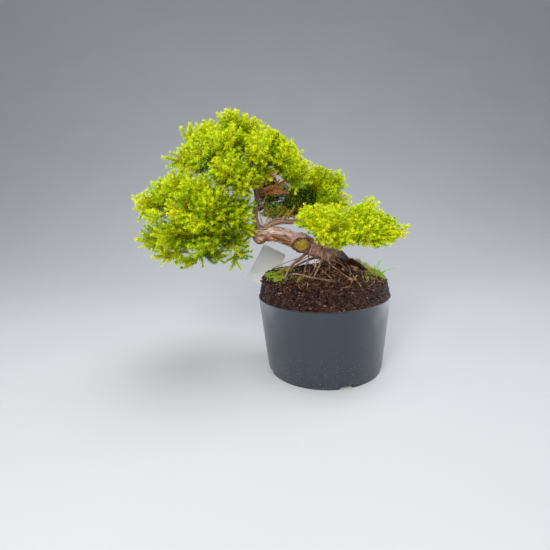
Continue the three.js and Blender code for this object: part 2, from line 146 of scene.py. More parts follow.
def piece(name, shape, material, slot, *nodes, smooth=None):
    """A finished mesh of the object, which rides on its only body and stands for its nodes."""
    mesh = meshed(shape, name) if isinstance(shape, bmesh.types.BMesh) else shape
    mesh.name = name
    if smooth is not None:
        mesh.shade_smooth()
        mesh.set_sharp_from_angle(angle=math.radians(smooth))
    mesh.materials.clear()
    mesh.materials.append(material)
    made = placed(name, mesh)
    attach(made, "root")
    if nodes:
        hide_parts(*nodes)


def finished_mesh(made):
    """The mesh of an object with its modifiers applied. The object itself is removed."""
    bpy.context.view_layer.update()
    seen = made.evaluated_get(bpy.context.evaluated_depsgraph_get())
    mesh = bpy.data.meshes.new_from_object(seen)
    bpy.data.objects.remove(made)
    return mesh


def spun(profile, steps):
    """A closed turned shape: a profile of radius and height, which starts and ends on the axis."""
    bm = bmesh.new()
    corners = [bm.verts.new((r, 0, z)) for r, z in profile]
    edges = [bm.edges.new(pair) for pair in zip(corners, corners[1:])]
    bmesh.ops.spin(
        bm, geom=corners + edges, cent=(0, 0, 0), axis=(0, 0, 1), angle=2 * math.pi, steps=steps,
        use_merge=True,
    )
    bmesh.ops.remove_doubles(bm, verts=bm.verts, dist=1e-6)
    bmesh.ops.recalc_face_normals(bm, faces=bm.faces)
    return bm


def pot_wall_radius(z):
    """The pot's outer radius at a height. The wall leans out evenly from the foot to the rim."""
    rise = (z - FOOT_HEIGHT) / (POT_HEIGHT - FOOT_HEIGHT)
    return FOOT_RADIUS + (RIM_RADIUS - FOOT_RADIUS) * rise


pot_profile = [
    (0, 0), (PAD_RADIUS, 0), (PAD_RADIUS + 0.002, FOOT_HEIGHT),
    (FOOT_RADIUS - FOOT_WIDTH - 0.002, FOOT_HEIGHT), (FOOT_RADIUS - FOOT_WIDTH, 0),
    (FOOT_RADIUS - 0.0015, 0), (FOOT_RADIUS - 0.001, 0.0006), (FOOT_RADIUS - 0.0006, FOOT_HEIGHT - 0.0004),
    (FOOT_RADIUS + 0.0002, FOOT_HEIGHT + 0.0004), (FOOT_RADIUS + 0.0006, FOOT_HEIGHT + 0.0016),
    (RIM_RADIUS, POT_HEIGHT - POT_LIP), (RIM_RADIUS - POT_LIP, POT_HEIGHT),
    (RIM_RADIUS - POT_WALL + POT_LIP, POT_HEIGHT), (RIM_RADIUS - POT_WALL, POT_HEIGHT - POT_LIP),
    (pot_wall_radius(BASE_TOP) - POT_WALL, BASE_TOP), (PAD_RADIUS + 0.003, BASE_TOP),
    (PAD_RADIUS - 0.002, POT_BASE), (0, POT_BASE),
]
pot_shell = placed("pot_shell", meshed(spun(pot_profile, 144), "pot_shell"))
bm = bmesh.new()
for turn in SLOT_TURNS:
    seat = Matrix.Rotation(turn, 4, "Z") @ Matrix.Translation((FOOT_RADIUS - 0.002, 0, 0))
    bmesh.ops.create_cube(bm, size=1, matrix=seat @ Matrix.Diagonal((*SLOT_SIZE, 1)))
for i in range(DRAIN_HOLES):
    turn = Matrix.Rotation(2 * math.pi * (i + 0.5) / DRAIN_HOLES, 4, "Z")
    bmesh.ops.create_cone(
        bm, cap_ends=True, segments=32, radius1=DRAIN_RADIUS, radius2=DRAIN_RADIUS, depth=DRAIN_DEPTH,
        matrix=turn @ Matrix.Translation((DRAIN_CIRCLE, 0, BASE_TOP - POT_BASE / 2)),
    )
cutter = placed("pot_openings", meshed(bm, "pot_openings"))
cut = pot_shell.modifiers.new("openings", "BOOLEAN")
cut.operation = "DIFFERENCE"
cut.solver = "EXACT"
cut.object = cutter
pot_mesh = finished_mesh(pot_shell)
bpy.data.objects.remove(cutter)

# Moulded polypropylene is satin, with a fine mould grain and a few pale specks of dried splash low on
# the wall. The rim was sawn, not moulded, so it has no gloss, and its top is painted dark as painted
# shade.
moulded = new_material("moulded_polypropylene", IOR=1.5)
place = add(moulded, "TexCoord", out="Object")
height = add(moulded, "SeparateXYZ", {0: place}, out="Z")
low = add(moulded, "MapRange", {"Value": height, "From Max": 0.07, "To Min": 1, "To Max": 0})
speck = add(moulded, "TexNoise", {"Vector": place, "Scale": 1 / (1.1 * MM)})
speck = add(moulded, "ValToRGB", {0: speck}, [(0.66, "#000000"), (0.7, "#ffffff")])
dust = add(moulded, "Math", {0: speck, 1: low}, operation="MULTIPLY", use_clamp=True)
colour = add(moulded, "Mix", {0: dust, 6: "#303843", 7: "#a5a198"}, **BLEND)
rim_from, rim_to = POT_HEIGHT - 1.6 * MM, POT_HEIGHT - 0.4 * MM
rim = add(moulded, "MapRange", {"Value": height, "From Min": rim_from, "From Max": rim_to})
# The top of the rim is mixed to a near-black grey: painted shade along the rim.
add(moulded, "Mix", {0: rim, 6: colour, 7: "#171b21"}, to="Base Color", **BLEND)
wear = add(moulded, "TexNoise", {"Vector": place, "Scale": 1 / (18 * MM), "Detail": 4})
sheen_range = {"From Min": 0.3, "From Max": 0.7, "To Min": 0.40, "To Max": 0.48}
sheen = add(moulded, "MapRange", {"Value": wear, **sheen_range})
add(moulded, "Math", {0: sheen, 1: rim}, to="Roughness", operation="MAXIMUM")
grain = add(moulded, "TexNoise", {"Vector": place, "Scale": 1 / (1.2 * MM)})
add(moulded, "Bump", {"Height": grain, "Strength": 0.03, "Distance": 0.2 * MM}, to="Normal")
piece("nursery_pot", pot_mesh, moulded, "pot_plastic", "pot", smooth=30)

# Root ball
# Dark peaty compost that has kept the pot's round shape and stands above the cut rim, raked down
# to the rim at the front. Between its crumbs and clods there are deep dark pits.
PLATEAU = 0.127
MOUND = 0.011
MOUND_AT = (0.024, 0.012)
MOUND_SPREAD = 0.034
RAKE_FROM = -0.026
RAKE = 0.45
RIGHT_FALL = (0.038, 0.16)  # where the ground starts to fall, and how steeply
BACK_FALL = (0.045, 0.12)
SHOULDER = 0.080
SHOULDER_ROUND = 0.006
SHOULDER_DROP = 0.0022
CLODS = (0.011, 0.0014)  # grain size and depth
CRUMBS = (0.0036, 0.0013)
SIDE_GRAINS = ((0.006, 0.0013), (0.0028, 0.0008))
SOIL_RIM = POT_HEIGHT - MM
SOIL_GAP = 0.0003
SOIL_BOTTOM = 0.090
TOP_RINGS = 54
SIDE_RINGS = 16
RING_DROP = 0.001
TURNED_AT = SOIL_RIM + 0.02  # the level at which the shape is turned, before it is formed


def soil_top(x, y):
    """The height of the soil before its crumbs: a plateau with a mound at the trunk."""
    away = math.hypot(x - MOUND_AT[0], y - MOUND_AT[1])
    mound = MOUND * math.exp(-(away * away) / (2 * MOUND_SPREAD**2))
    front = max(0, RAKE_FROM - y) * RAKE
    right = max(0, x - RIGHT_FALL[0]) * RIGHT_FALL[1]
    back = max(0, y - BACK_FALL[0]) * BACK_FALL[1]
    return PLATEAU + mound - front - right - back


def crumble(point, size, depth):
    """Crumbly relief of the given grain size and depth at a point."""
    return depth * noise.fractal(point / size, 1.0, 2.1, 4)


def soil_surface(x, y):
    """The finished height of the soil at a place, crumbs included."""
    point = Vector((x, y, 0))
    edge = max(0, math.hypot(x, y) - (SHOULDER - SHOULDER_ROUND)) / SHOULDER_ROUND
    relief = crumble(point, *CLODS) + crumble(point + Vector((9, 3, 1)), *CRUMBS)
    return max(SOIL_RIM + 0.0006, soil_top(x, y) + relief - SHOULDER_DROP * min(1, edge) ** 2)


def soil_side(turn, share):
    """A place on the root ball's side, at a turn round it and a share of the way down to the rim."""
    x, y = SHOULDER * math.cos(turn), SHOULDER * math.sin(turn)
    top = soil_surface(x, y)
    z = top + (SOIL_RIM - 0.001 - top) * share
    wall = pot_wall_radius(SOIL_RIM) - POT_WALL - SOIL_GAP
    swell = SHOULDER + (wall - SHOULDER) * min(1, 1.15 * share)
    swell += sum(crumble(Vector((x, y, z)), *grain) for grain in SIDE_GRAINS) * (1 - share)
    return Vector((swell * math.cos(turn), swell * math.sin(turn), z))


profile = [(SHOULDER * i / TOP_RINGS, TURNED_AT) for i in range(TOP_RINGS + 1)]
profile += [(SHOULDER + 0.0001 * i, TURNED_AT - RING_DROP * i) for i in range(1, SIDE_RINGS + 1)]
profile += [(pot_wall_radius(SOIL_BOTTOM) - POT_WALL - SOIL_GAP, SOIL_BOTTOM), (0, SOIL_BOTTOM)]
bm = spun(profile, 280)
for corner in bm.verts:
    x, y, z = corner.co
    if z > TURNED_AT - 0.0001:
        corner.co.z = soil_surface(x, y)
    elif z > SOIL_BOTTOM + 0.0001:
        corner.co = soil_side(math.atan2(y, x), (TURNED_AT - z) / (RING_DROP * SIDE_RINGS))
# Moist compost is nearly black in its pits and dull purplish brown on its crumbs.
compost = new_material("peaty_compost", Roughness=0.95, Specular_IOR_Level=0.03)
place = add(compost, "TexCoord", out="Object")
clods = add(compost, "TexNoise", {"Vector": place, "Scale": 1 / (7 * MM), "Detail": 7, "Roughness": 0.7})
crumbs = add(compost, "TexVoronoi", {"Vector": place, "Scale": 1 / (1.7 * MM)}, out="Color")
peat_tones = [(0.35, "#140c0b"), (0.46, "#2d201d"), (0.57, "#4d3a35"), (0.7, "#725b51")]
peat = add(compost, "ValToRGB", {0: clods}, peat_tones)
tone = add(compost, "ValToRGB", {0: crumbs}, [(0.15, "#3a3432"), (0.55, "#9a8e88"), (0.9, "#f0d8c8")])
colour = add(compost, "Mix", {0: 0.8, 6: peat, 7: tone}, blend_type="MULTIPLY", **BLEND)
add(compost, "Mix", {0: 0.3, 6: colour, 7: peat}, to="Base Color", **BLEND)
rough = add(compost, "TexNoise", {"Vector": place, "Scale": 1 / (1.3 * MM), "Detail": 5})
add(compost, "Bump", {"Height": rough, "Strength": 1, "Distance": 1.3 * MM}, to="Normal")
piece("root_ball", bm, compost, "soil", "soil", smooth=80)

# Soil crumbs
# Loose crumbs and small clods of peat, chips of red-brown and ochre bark and a few grains of grit
# cover the raked front and the sides. Most are about one millimetre across, a few three.
CRUMB_COUNT = 6400
SIDE_CRUMBS = 1300
CHIP_SHARE = 0.13
THIN_BEHIND = -0.02  # a share of the crumbs behind this line is left out
THINNING = 0.6
CHIP_FROM = 0.86
rng = random.Random(11)
bm = bmesh.new()
bmesh.ops.create_cube(bm, size=1.5)
for corner in bm.verts:
    corner.co *= 1 + 0.55 * noise.noise(corner.co * 1.3)
crumb_mesh = meshed(bm, "crumb")


def stamp(bm, mesh, matrix, values):
    """Adds a placed copy of a small mesh, with a value for each of its vertices' layers."""
    before = len(bm.verts)
    bm.from_mesh(mesh)
    bm.verts.ensure_lookup_table()
    fresh = bm.verts[before:]
    bmesh.ops.transform(bm, matrix=matrix, verts=fresh)
    for layer, value in values.items():
        for corner in fresh:
            corner[layer] = value


def scattered(mesh, copies):
    """Many placed copies of a small mesh, each with a tone, joined a few hundred at a time."""
    whole = bmesh.new()
    whole.verts.layers.float.new("tone")
    for first in range(0, len(copies), 300):
        part = bmesh.new()
        tone = part.verts.layers.float.new("tone")
        for matrix, value in copies[first : first + 300]:
            stamp(part, mesh, matrix, {tone: value})
        part_mesh = meshed(part, "part")
        whole.from_mesh(part_mesh)
        bpy.data.meshes.remove(part_mesh)
    return whole


copies = []
for i in range(CRUMB_COUNT + SIDE_CRUMBS):
    turn = rng.uniform(0, 2 * math.pi)
    size = rng.uniform(0.35, 0.95) * MM
    if i < CRUMB_COUNT:
        r = SHOULDER * math.sqrt(rng.random())
        x, y = r * math.cos(turn), r * math.sin(turn)
        if y > THIN_BEHIND and rng.random() < THINNING:
            continue
        at = Vector((x, y, soil_surface(x, y) + 0.15 * size))
    else:
        at = soil_side(turn, rng.random() ** 1.4)
    lumpy = noise.noise(at / 0.009)
    if rng.random() < 0.05 + 0.22 * max(0, lumpy):
        size *= rng.uniform(1.5, 2.4)
    kind = min(0.855, max(0, rng.gauss(0.42 + 0.3 * lumpy, 0.2)))
    stretch = (1, rng.uniform(0.65, 1), rng.uniform(0.55, 0.9))
    if rng.random() < CHIP_SHARE:
        kind = rng.uniform(CHIP_FROM, 1)
        stretch = (rng.uniform(1.4, 2.4), 0.7, 0.45)
    spin = Matrix.Rotation(rng.uniform(0, 6.28), 4, "Z") @ Matrix.Rotation(rng.uniform(-0.9, 0.9), 4, "X")
    shape = Matrix.Diagonal((*[size * s for s in stretch], 1))
    copies.append((Matrix.Translation(at) @ spin @ shape, kind))
# Peat crumbs run from black to grey-brown. After them come the red-brown and ochre bark chips, and
# last the grit.
loose = new_material("loose_compost_and_bark", Roughness=0.9, Specular_IOR_Level=0.05)
kind = add(loose, "Attribute", out="Fac", attribute_name="tone")
loose_tones = [
    (0.0, "#150e0c"), (0.3, "#2d201c"), (0.6, "#54413a"), (0.85, "#8a7468"), (CHIP_FROM, "#5c3026"),
    (0.95, "#864c39"), (0.975, "#ae8446"), (1.0, "#c0b6ab"),
]
colour = add(loose, "ValToRGB", {0: kind}, loose_tones)
place = add(loose, "TexCoord", out="Object")
grain = add(loose, "TexNoise", {"Vector": place, "Scale": 1 / (1.2 * MM), "Detail": 4})
mottled = add(loose, "ValToRGB", {0: grain}, [(0.35, "#8c8480"), (0.65, "#ffffff")])
add(loose, "Mix", {0: 0.8, 6: colour, 7: mottled}, to="Base Color", blend_type="MULTIPLY", **BLEND)
piece("soil_crumbs", scattered(crumb_mesh, copies), loose, "soil")

# Trunk, limbs and thick roots
# One grown piece of juniper wood under thin bark that peels in lengthwise flakes: pinkish brown on
# top, tan and fibrous below, where the darker tone is partly painted shade. A limb was sawn off at the
# front, and its wood has turned olive.
TRUNK = [  # places from the foot, with the radius at each
    (28, 10, 98, 13), (27, 8, 116, 15.5), (24, 5, 131, 17), (15, 1, 146, 15), (2, -3, 157, 13.2),
    (-14, -6, 164, 12.4), (-32, -8, 171.5, 11.4), (-49, -9, 179, 10.4), (-62, -10, 183, 10),
    (-76, -10, 184, 9.8), (-87, -10, 186, 8.2), (-97, -9, 190, 5.6),
]
STUB_FROM = Vector((-0.028, -0.007, 0.1725))
STUB_FACING = Vector((-0.1, -0.98, -0.16)).normalized()
STUB_RADIUS = 0.0116
STUB_REACH = 0.017
STUB_STEPS = 12
BURR_AT = Vector((-0.080, -0.011, 0.178))
BURR_SIZE = (0.009, 0.008, 0.007)
BURR_REACH = 0.016
BURR_RELIEF = 0.0035
BARK_GRAINS = ((0.016, 0.0021, 0), (0.006, 0.0011, 7))  # flakes and strips: length, width, noise shift
BARK_RELIEF = 0.0012
LUMP_RELIEF = 0.0008
CUT_CLEAR = (0.0105, 0.0012)  # how far round and behind the sawn face the wood stays plain
# Each limb has a route from where it leaves the wood, with the radius at both ends. It bears sprays,
# which leave it evenly spaced from bears_from, a share of its length, to its end. A tip is where the
# spray's outermost shoot ends.
LIMBS = {
    "crown": dict(
        radius=(4.6, 1.9), bears_from=0.8,
        route=[
            (-80, -9, 187), (-86, -6, 203), (-82, -3, 226), (-84, 0, 240), (-93, 3, 256), (-104, 4, 272),
            (-110, 3, 288),
        ],
        tips=[(-85, 13, 321), (-113, -59, 289), (-123, 49, 306), (-107, -5, 327)],
    ),
    "crown_left": dict(
        radius=(2.4, 1.5), bears_from=0.4,
        route=[(-101, 4, 268), (-120, 5, 275), (-141, 4, 277)],
        tips=[(-146, -54, 276), (-170, 52, 288), (-147, -14, 309), (-167, 12, 293), (-186, -13, 270)],
    ),
    "crown_right": dict(
        radius=(2.4, 1.5), bears_from=0.3,
        route=[(-91, 3, 253), (-77, 3, 263), (-60, 1, 270)],
        tips=[(-74, -54, 280), (-64, 50, 284), (-61, -7, 304), (-28, -18, 259), (-36, 2, 282)],
    ),
    "crown_front": dict(
        radius=(2.1, 1.5), bears_from=0.6,
        route=[(-84, 0, 240), (-94, -16, 243), (-102, -30, 244)],
        tips=[(-99, -54, 235), (-120, -71, 258)],
    ),
    "crown_back": dict(
        radius=(2.1, 1.5), bears_from=0.5,
        route=[(-84, 0, 240), (-89, 17, 242), (-95, 32, 243)],
        tips=[(-56, 42, 216), (-108, 68, 255)],
    ),
    "arm": dict(
        radius=(1.8, 1.4), bears_from=0.8,
        route=[(-83, -1, 234), (-68, -3, 240), (-50, -4, 245)],
        tips=[(-15, -6, 255)],
    ),
    "left": dict(
        radius=(4.4, 1.7), bears_from=0.55,
        route=[(-88, -9, 191), (-110, -9, 197), (-134, -7, 204), (-158, -5, 210), (-176, -4, 214)],
        tips=[(-186, -30, 250), (-203, 55, 238), (-217, 14, 240), (-234, -4, 222)],
    ),
    "left_front": dict(
        radius=(2.6, 1.6), bears_from=0.25,
        route=[(-110, -9, 197), (-122, -22, 203), (-134, -34, 207)],
        tips=[(-97, -50, 207), (-131, -75, 228), (-152, -73, 199), (-158, -59, 245), (-180, -56, 216)],
    ),
    "left_low": dict(
        radius=(2.9, 1.6), bears_from=0.25,
        route=[(-106, -9, 196), (-128, -12, 188), (-150, -13, 182), (-170, -13, 179)],
        tips=[
            (-111, -30, 158), (-138, -62, 172), (-162, -23, 147), (-198, -49, 183), (-211, -2, 149),
            (-231, -10, 174),
        ],
    ),
    "left_back": dict(
        radius=(2.3, 1.5), bears_from=0.6,
        route=[(-134, -7, 204), (-142, 12, 203), (-150, 28, 200)],
        tips=[(-146, 70, 214), (-192, 56, 181)],
    ),
    "right_back": dict(
        radius=(4.1, 2.1), bears_from=0.52,
        route=[
            (-76, -7, 190), (-65, -3, 195.5), (-52, 0, 197), (-40, 4, 196), (-28, 9, 197), (-16, 18, 205),
            (-6, 25, 214), (0, 28, 222),
        ],
        tips=[(-28, 26, 213), (14, 61, 206), (-29, 41, 232), (35, 16, 213), (-3, 28, 260), (29, 23, 247)],
    ),
    "right_front": dict(
        radius=(3, 1.6), bears_from=0.5,
        route=[(10, -4, 158), (12, -18, 172), (6, -30, 180)],
        tips=[(26, -52, 175), (7, -39, 210), (-29, -43, 206), (-11, -65, 189)],
    ),
    "right": dict(
        radius=(4, 1.6), bears_from=0.45,
        route=[(12, 0, 157), (24, -6, 171), (40, -9, 176), (56, -9, 176), (68, -8, 175)],
        tips=[(73, 44, 189), (49, -42, 179), (44, 0, 209), (77, -25, 167), (69, -5, 205), (101, -12, 174)],
    ),
}
ROOTS = [  # routes of the thick surface roots, with the radius at both ends
    (
        [
            (-16, -8, 160), (-27, -14, 154), (-38, -19, 148), (-46, -23, 140), (-50, -26, 130),
            (-53, -28, 115),
        ],
        (2, 1.2),
    ),
    (
        [
            (24, -14, 112), (22, -40, 116), (12, -43, 124), (0, -38, 127), (-20, -32, 130), (-38, -22, 133),
            (-48, -22, 131), (-55, -27, 124), (-58, -29, 112),
        ],
        (1.8, 1.2),
    ),
    (
        [
            (-12, -10, 166), (-17, -19, 164), (-20, -23, 156), (-24, -25, 146), (-27, -26, 136),
            (-29, -27, 118),
        ],
        (1.2, 1),
    ),
    ([(2, -8, 150), (6, -17, 144), (20, -25, 135), (30, -35, 128), (36, -41, 116)], (2, 1.3)),
    ([(24, 0, 140), (33, -2, 143), (42, -5, 139), (52, -8, 132), (60, -9, 118)], (5, 2)),
    ([(2, 6, 152), (-14, 14, 145), (-30, 22, 137), (-42, 27, 129), (-50, 30, 114)], (2.2, 1.2)),
    ([(0, -6, 152), (-5, -18, 146), (-10, -24, 138), (-15, -28, 130), (-19, -31, 114)], (1.8, 1.1)),
    ([(32, 16, 136), (42, 30, 136), (50, 42, 131), (56, 52, 116)], (4, 1.6)),
    ([(22, -10, 134), (31, -20, 133), (38, -28, 129), (43, -34, 114)], (3, 1.5)),
]


def metres(places):
    """Places that are listed in millimetres, as points in metres."""
    return [Vector([c / 1000 for c in place]) for place in places]


def smooth_route(points, step=0.001):
    """A smooth curve through the points, as places an equal step apart."""
    ends = [points[0] * 2 - points[1], *points, points[-1] * 2 - points[-2]]
    fine = []
    for a, b, c, d in zip(ends, ends[1:], ends[2:], ends[3:]):
        gaps = [max(1e-6, math.sqrt((q - p).length)) for p, q in ((a, b), (b, c), (c, d))]
        lead = ((b - a) / gaps[0] - (c - a) / (gaps[0] + gaps[1]) + (c - b) / gaps[1]) * gaps[1]
        tail = ((c - b) / gaps[1] - (d - b) / (gaps[1] + gaps[2]) + (d - c) / gaps[2]) * gaps[1]
        for t in (i / 24 for i in range(24)):
            fine.append(
                b * (2 * t**3 - 3 * t**2 + 1) + lead * (t**3 - 2 * t**2 + t)
                + c * (3 * t**2 - 2 * t**3) + tail * (t**3 - t**2)
            )
    fine.append(points[-1])
    lengths = [0]
    for a, b in zip(fine, fine[1:]):
        lengths.append(lengths[-1] + (b - a).length)
    count = max(2, round(lengths[-1] / step))
    spaced, at = [], 0
    for i in range(count + 1):
        goal = lengths[-1] * i / count
        while at < len(fine) - 2 and lengths[at + 1] < goal:
            at += 1
        span = lengths[at + 1] - lengths[at]
        spaced.append(fine[at].lerp(fine[at + 1], (goal - lengths[at]) / span if span else 0))
    return spaced


def tapered(line, thick, thin):
    """A line with the radius at each of its places, from the radii at its ends in millimetres."""
    return line, [(thick + (thin - thick) * i / (len(line) - 1)) / 1000 for i in range(len(line))]


def tube_object(name, routes, sides=12):
    """Round closed tubes along routes of places and radii, as one curve object."""
    shape = bpy.data.curves.new(name, "CURVE")
    shape.dimensions = "3D"
    shape.bevel_depth = 1
    shape.bevel_resolution = (sides - 4) // 2
    shape.use_fill_caps = True
    for places, radii in routes:
        line = shape.splines.new("POLY")
        line.points.add(len(places) - 1)
        for point, at, radius in zip(line.points, places, radii):
            point.co = (*at, 1)
            point.radius = radius
    return placed(name, shape)


def across(ahead):
    """Two directions square to a heading: one that is level, and one over it."""
    side = ahead.cross(Vector((0, 0, 1)))
    side = side.normalized() if side.length > 0.05 else Vector((1, 0, 0))
    return side, side.cross(ahead)


trunk_line = smooth_route(metres([p[:3] for p in TRUNK]), 0.0015)
fine_radii = [p.x for p in smooth_route(metres([(p[3], 10 * i, 0) for i, p in enumerate(TRUNK)]), 0.0005)]
last, fine_last = len(trunk_line) - 1, len(fine_radii) - 1
trunk_radii = [fine_radii[round(i * fine_last / last)] for i in range(last + 1)]
stub_end = STUB_FROM + STUB_FACING * STUB_REACH
stub_line = [STUB_FROM.lerp(stub_end, i / STUB_STEPS) for i in range(STUB_STEPS + 1)]
stub_radii = [STUB_RADIUS * (1.06 - 0.06 * i / STUB_STEPS) for i in range(STUB_STEPS + 1)]
limb_lines = {name: smooth_route(metres(limb["route"])) for name, limb in LIMBS.items()}
wood_routes = [(trunk_line, trunk_radii), (stub_line, stub_radii)]
wood_routes += [tapered(limb_lines[name], *limb["radius"]) for name, limb in LIMBS.items()]
wood_routes += [tapered(smooth_route(metres(route)), *radius) for route, radius in ROOTS]
bm = bmesh.new()
bm.from_mesh(finished_mesh(tube_object("wood", wood_routes)))
burr_place = Matrix.Translation(BURR_AT) @ Matrix.Diagonal((*BURR_SIZE, 1))
bmesh.ops.create_icosphere(bm, subdivisions=3, radius=1, matrix=burr_place)
wood = placed("wood", meshed(bm, "wood"))
weld = wood.modifiers.new("weld", "REMESH")
weld.mode = "VOXEL"
weld.voxel_size = 1.0 * MM
bm = bmesh.new()
bm.from_mesh(finished_mesh(wood))

# Bark relief and colour follow the wood's own direction: every place on the bark knows its nearest
# route, how far along it lies and how far round.
samples = []
for k, (line, radii) in enumerate(wood_routes):
    for i, at in enumerate(line):
        ahead = (line[min(i + 1, len(line) - 1)] - line[max(i - 1, 0)]).normalized()
        samples.append((at, ahead, i * (line[1] - line[0]).length + 0.37 * k, radii[i]))
tree = KDTree(len(samples))
for i, sample in enumerate(samples):
    tree.insert(sample[0], i)
tree.balance()
bmesh.ops.smooth_vert(bm, verts=bm.verts, factor=0.5, use_axis_x=True, use_axis_y=True, use_axis_z=True)
bm.normal_update()
layers = [bm.verts.layers.float.new(name) for name in ("along", "around", "girth")]
moves = []
for corner in bm.verts:
    best = min(tree.find_n(corner.co, 6), key=lambda hit: hit[2] - 0.6 * samples[hit[1]][3])
    at, ahead, along, radius = samples[best[1]]
    out = corner.co - at
    side, over = across(ahead)
    angle = math.atan2(out.dot(over), out.dot(side))
    girth = min(1, radius / 0.012)
    for layer, value in zip(layers, (along, angle * radius, girth)):
        corner[layer] = value
    flake, strip = (
        noise.noise(Vector((
            along / length + shift, math.cos(angle) * radius / width, math.sin(angle) * radius / width
        )))
        for length, width, shift in BARK_GRAINS
    )
    lump = noise.noise(corner.co / 0.007)
    from_cut = corner.co - stub_end
    near_burr = max(0, 1 - (corner.co - BURR_AT).length / BURR_REACH)
    depth = near_burr * BURR_RELIEF * noise.noise(corner.co / 0.0028)
    if from_cut.length >= CUT_CLEAR[0] or from_cut.dot(STUB_FACING) <= -CUT_CLEAR[1]:
        depth += (BARK_RELIEF * (flake * 0.6 + strip * 0.4) + LUMP_RELIEF * lump) * girth
    moves.append((corner, corner.normal * depth))
for corner, move in moves:
    corner.co += move
# Juniper bark is dull and dry. Fine strips run along the wood, with darker seams between the flakes.
# Where the trunk stands in wet compost it is crusted nearly black.
bark = new_material("juniper_bark", Roughness=0.85, Specular_IOR_Level=0.02)
along, around, girth = (
    add(bark, "Attribute", out="Fac", attribute_name=name) for name in ("along", "around", "girth")
)
strip_along = add(bark, "Math", {0: along, 1: 1 / (10 * MM)}, operation="MULTIPLY")
strip_round = add(bark, "Math", {0: around, 1: 1 / (1.3 * MM)}, operation="MULTIPLY")
strip_place = add(bark, "CombineXYZ", {"X": strip_along, "Y": strip_round})
strips = add(bark, "TexNoise", {"Vector": strip_place, "Scale": 1, "Detail": 5, "Roughness": 0.6})
flakes = add(bark, "TexVoronoi", {"Vector": strip_place, "Scale": 0.55}, feature="DISTANCE_TO_EDGE")
flake_edge = add(bark, "MapRange", {"Value": flakes, "From Max": 0.09})
place = add(bark, "TexCoord", out="Object")
patches = add(bark, "TexNoise", {"Vector": place, "Scale": 1 / (12 * MM), "Detail": 3})
upward = add(bark, "SeparateXYZ", {0: add(bark, "NewGeometry", out="Normal")}, out="Z")
top_bark, under_bark_and_shade, twig_bark, crusted = (
    add(bark, "ValToRGB", {0: strips}, stops)
    for stops in (
        [(0.28, "#7c5a50"), (0.4, "#bf9f95"), (0.54, "#dec6be"), (0.7, "#f4e9e4")],
        [(0.28, "#2e1a10"), (0.42, "#7a4e30"), (0.56, "#ab8058"), (0.72, "#d2b088")],
        [(0.3, "#684a3d"), (0.48, "#ac8876"), (0.66, "#dabba9")],
        [(0.36, "#120b08"), (0.5, "#281912"), (0.62, "#452e22"), (0.74, "#6e5040")],
    )
)
# Downward-facing bark takes the darker tan tones and upward-facing bark the pale pinkish ones; the dark
# underside is partly painted shade.
turned = add(bark, "MapRange", {"Value": upward, "From Min": -0.35, "From Max": 0.45})
slim = add(bark, "MapRange", {"Value": girth, "From Min": 0.3, "From Max": 0.75})
colour = add(bark, "Mix", {0: turned, 6: under_bark_and_shade, 7: top_bark}, **BLEND)
colour = add(bark, "Mix", {0: slim, 6: twig_bark, 7: colour}, **BLEND)
patch_tone = add(bark, "ValToRGB", {0: patches}, [(0.3, "#8d7466"), (0.7, "#ffffff")])
seam = add(bark, "ValToRGB", {0: flake_edge}, [(0.0, "#7a5c4c"), (1.0, "#ffffff")])
for share, shade in ((0.35, patch_tone), (0.5, seam)):
    colour = add(bark, "Mix", {0: share, 6: colour, 7: shade}, blend_type="MULTIPLY", **BLEND)
height = add(bark, "SeparateXYZ", {0: place}, out="Z")
reach_right = add(bark, "SeparateXYZ", {0: place}, out="X")
ragged = add(bark, "Math", {0: patches, 1: 0.024, 2: -0.012}, operation="MULTIPLY_ADD")
sunk = add(bark, "Math", {0: reach_right, 1: 0.55, 2: ragged}, operation="MULTIPLY_ADD")
level = add(bark, "Math", {0: height, 1: sunk}, operation="SUBTRACT")
wet_range = {"From Min": 0.137, "From Max": 0.15, "To Min": 1, "To Max": 0}
buried = add(bark, "MapRange", {"Value": level, **wet_range})
thickset = add(bark, "MapRange", {"Value": girth, "From Min": 0.3, "From Max": 0.75, "To Min": 0.3})
rightward = add(bark, "MapRange", {"Value": reach_right, "From Min": -0.004, "From Max": 0.012})
covered = add(bark, "Math", {0: thickset, 1: rightward}, operation="MAXIMUM")
buried = add(bark, "Math", {0: buried, 1: covered}, operation="MULTIPLY")
add(bark, "Mix", {0: buried, 6: colour, 7: crusted}, to="Base Color", **BLEND)
peeled = add(bark, "Math", {0: flake_edge, 1: 0.5, 2: strips}, operation="MULTIPLY_ADD")
add(bark, "Bump", {"Height": peeled, "Strength": 1, "Distance": 1.0 * MM}, to="Normal")
piece("wood_and_bark", bm, bark, "bark", "trunk", smooth=60)

# Sawn stub face and its collar
# The flat end of the sawn limb: heartwood with growth rings, gone olive with algae, and a raised
# collar of bark that heals over its edge.
FACE_HALF = (0.0094, 0.0073)
FACE_DEPTH = 0.006
FACE_TURN = math.radians(18)
FACE_RINGS = 14
COLLAR_STEPS = 48
side = Matrix.Rotation(FACE_TURN, 3, STUB_FACING) @ across(STUB_FACING)[0]
face_turn = Matrix((side, side.cross(STUB_FACING), STUB_FACING)).transposed().to_4x4()
face_place = Matrix.Translation(stub_end + STUB_FACING * 0.2 * MM) @ face_turn
bm = spun([*[(i / FACE_RINGS, 0) for i in range(FACE_RINGS + 1)], (1, -0.15), (0, -0.15)], 96)
for corner in bm.verts:
    if corner.co.z > -0.1:
        r = math.hypot(corner.co.x, corner.co.y)
        ring = 0.02 * math.sin(42 * r + 2 * noise.noise(corner.co * 2))
        corner.co.z = ring + 0.05 * noise.noise(corner.co * 5)
bmesh.ops.transform(bm, matrix=face_place @ Matrix.Diagonal((*FACE_HALF, FACE_DEPTH, 1)), verts=bm.verts)
# The placement mirrors the shape, so its faces are turned to point outwards again.
bmesh.ops.recalc_face_normals(bm, faces=bm.faces)
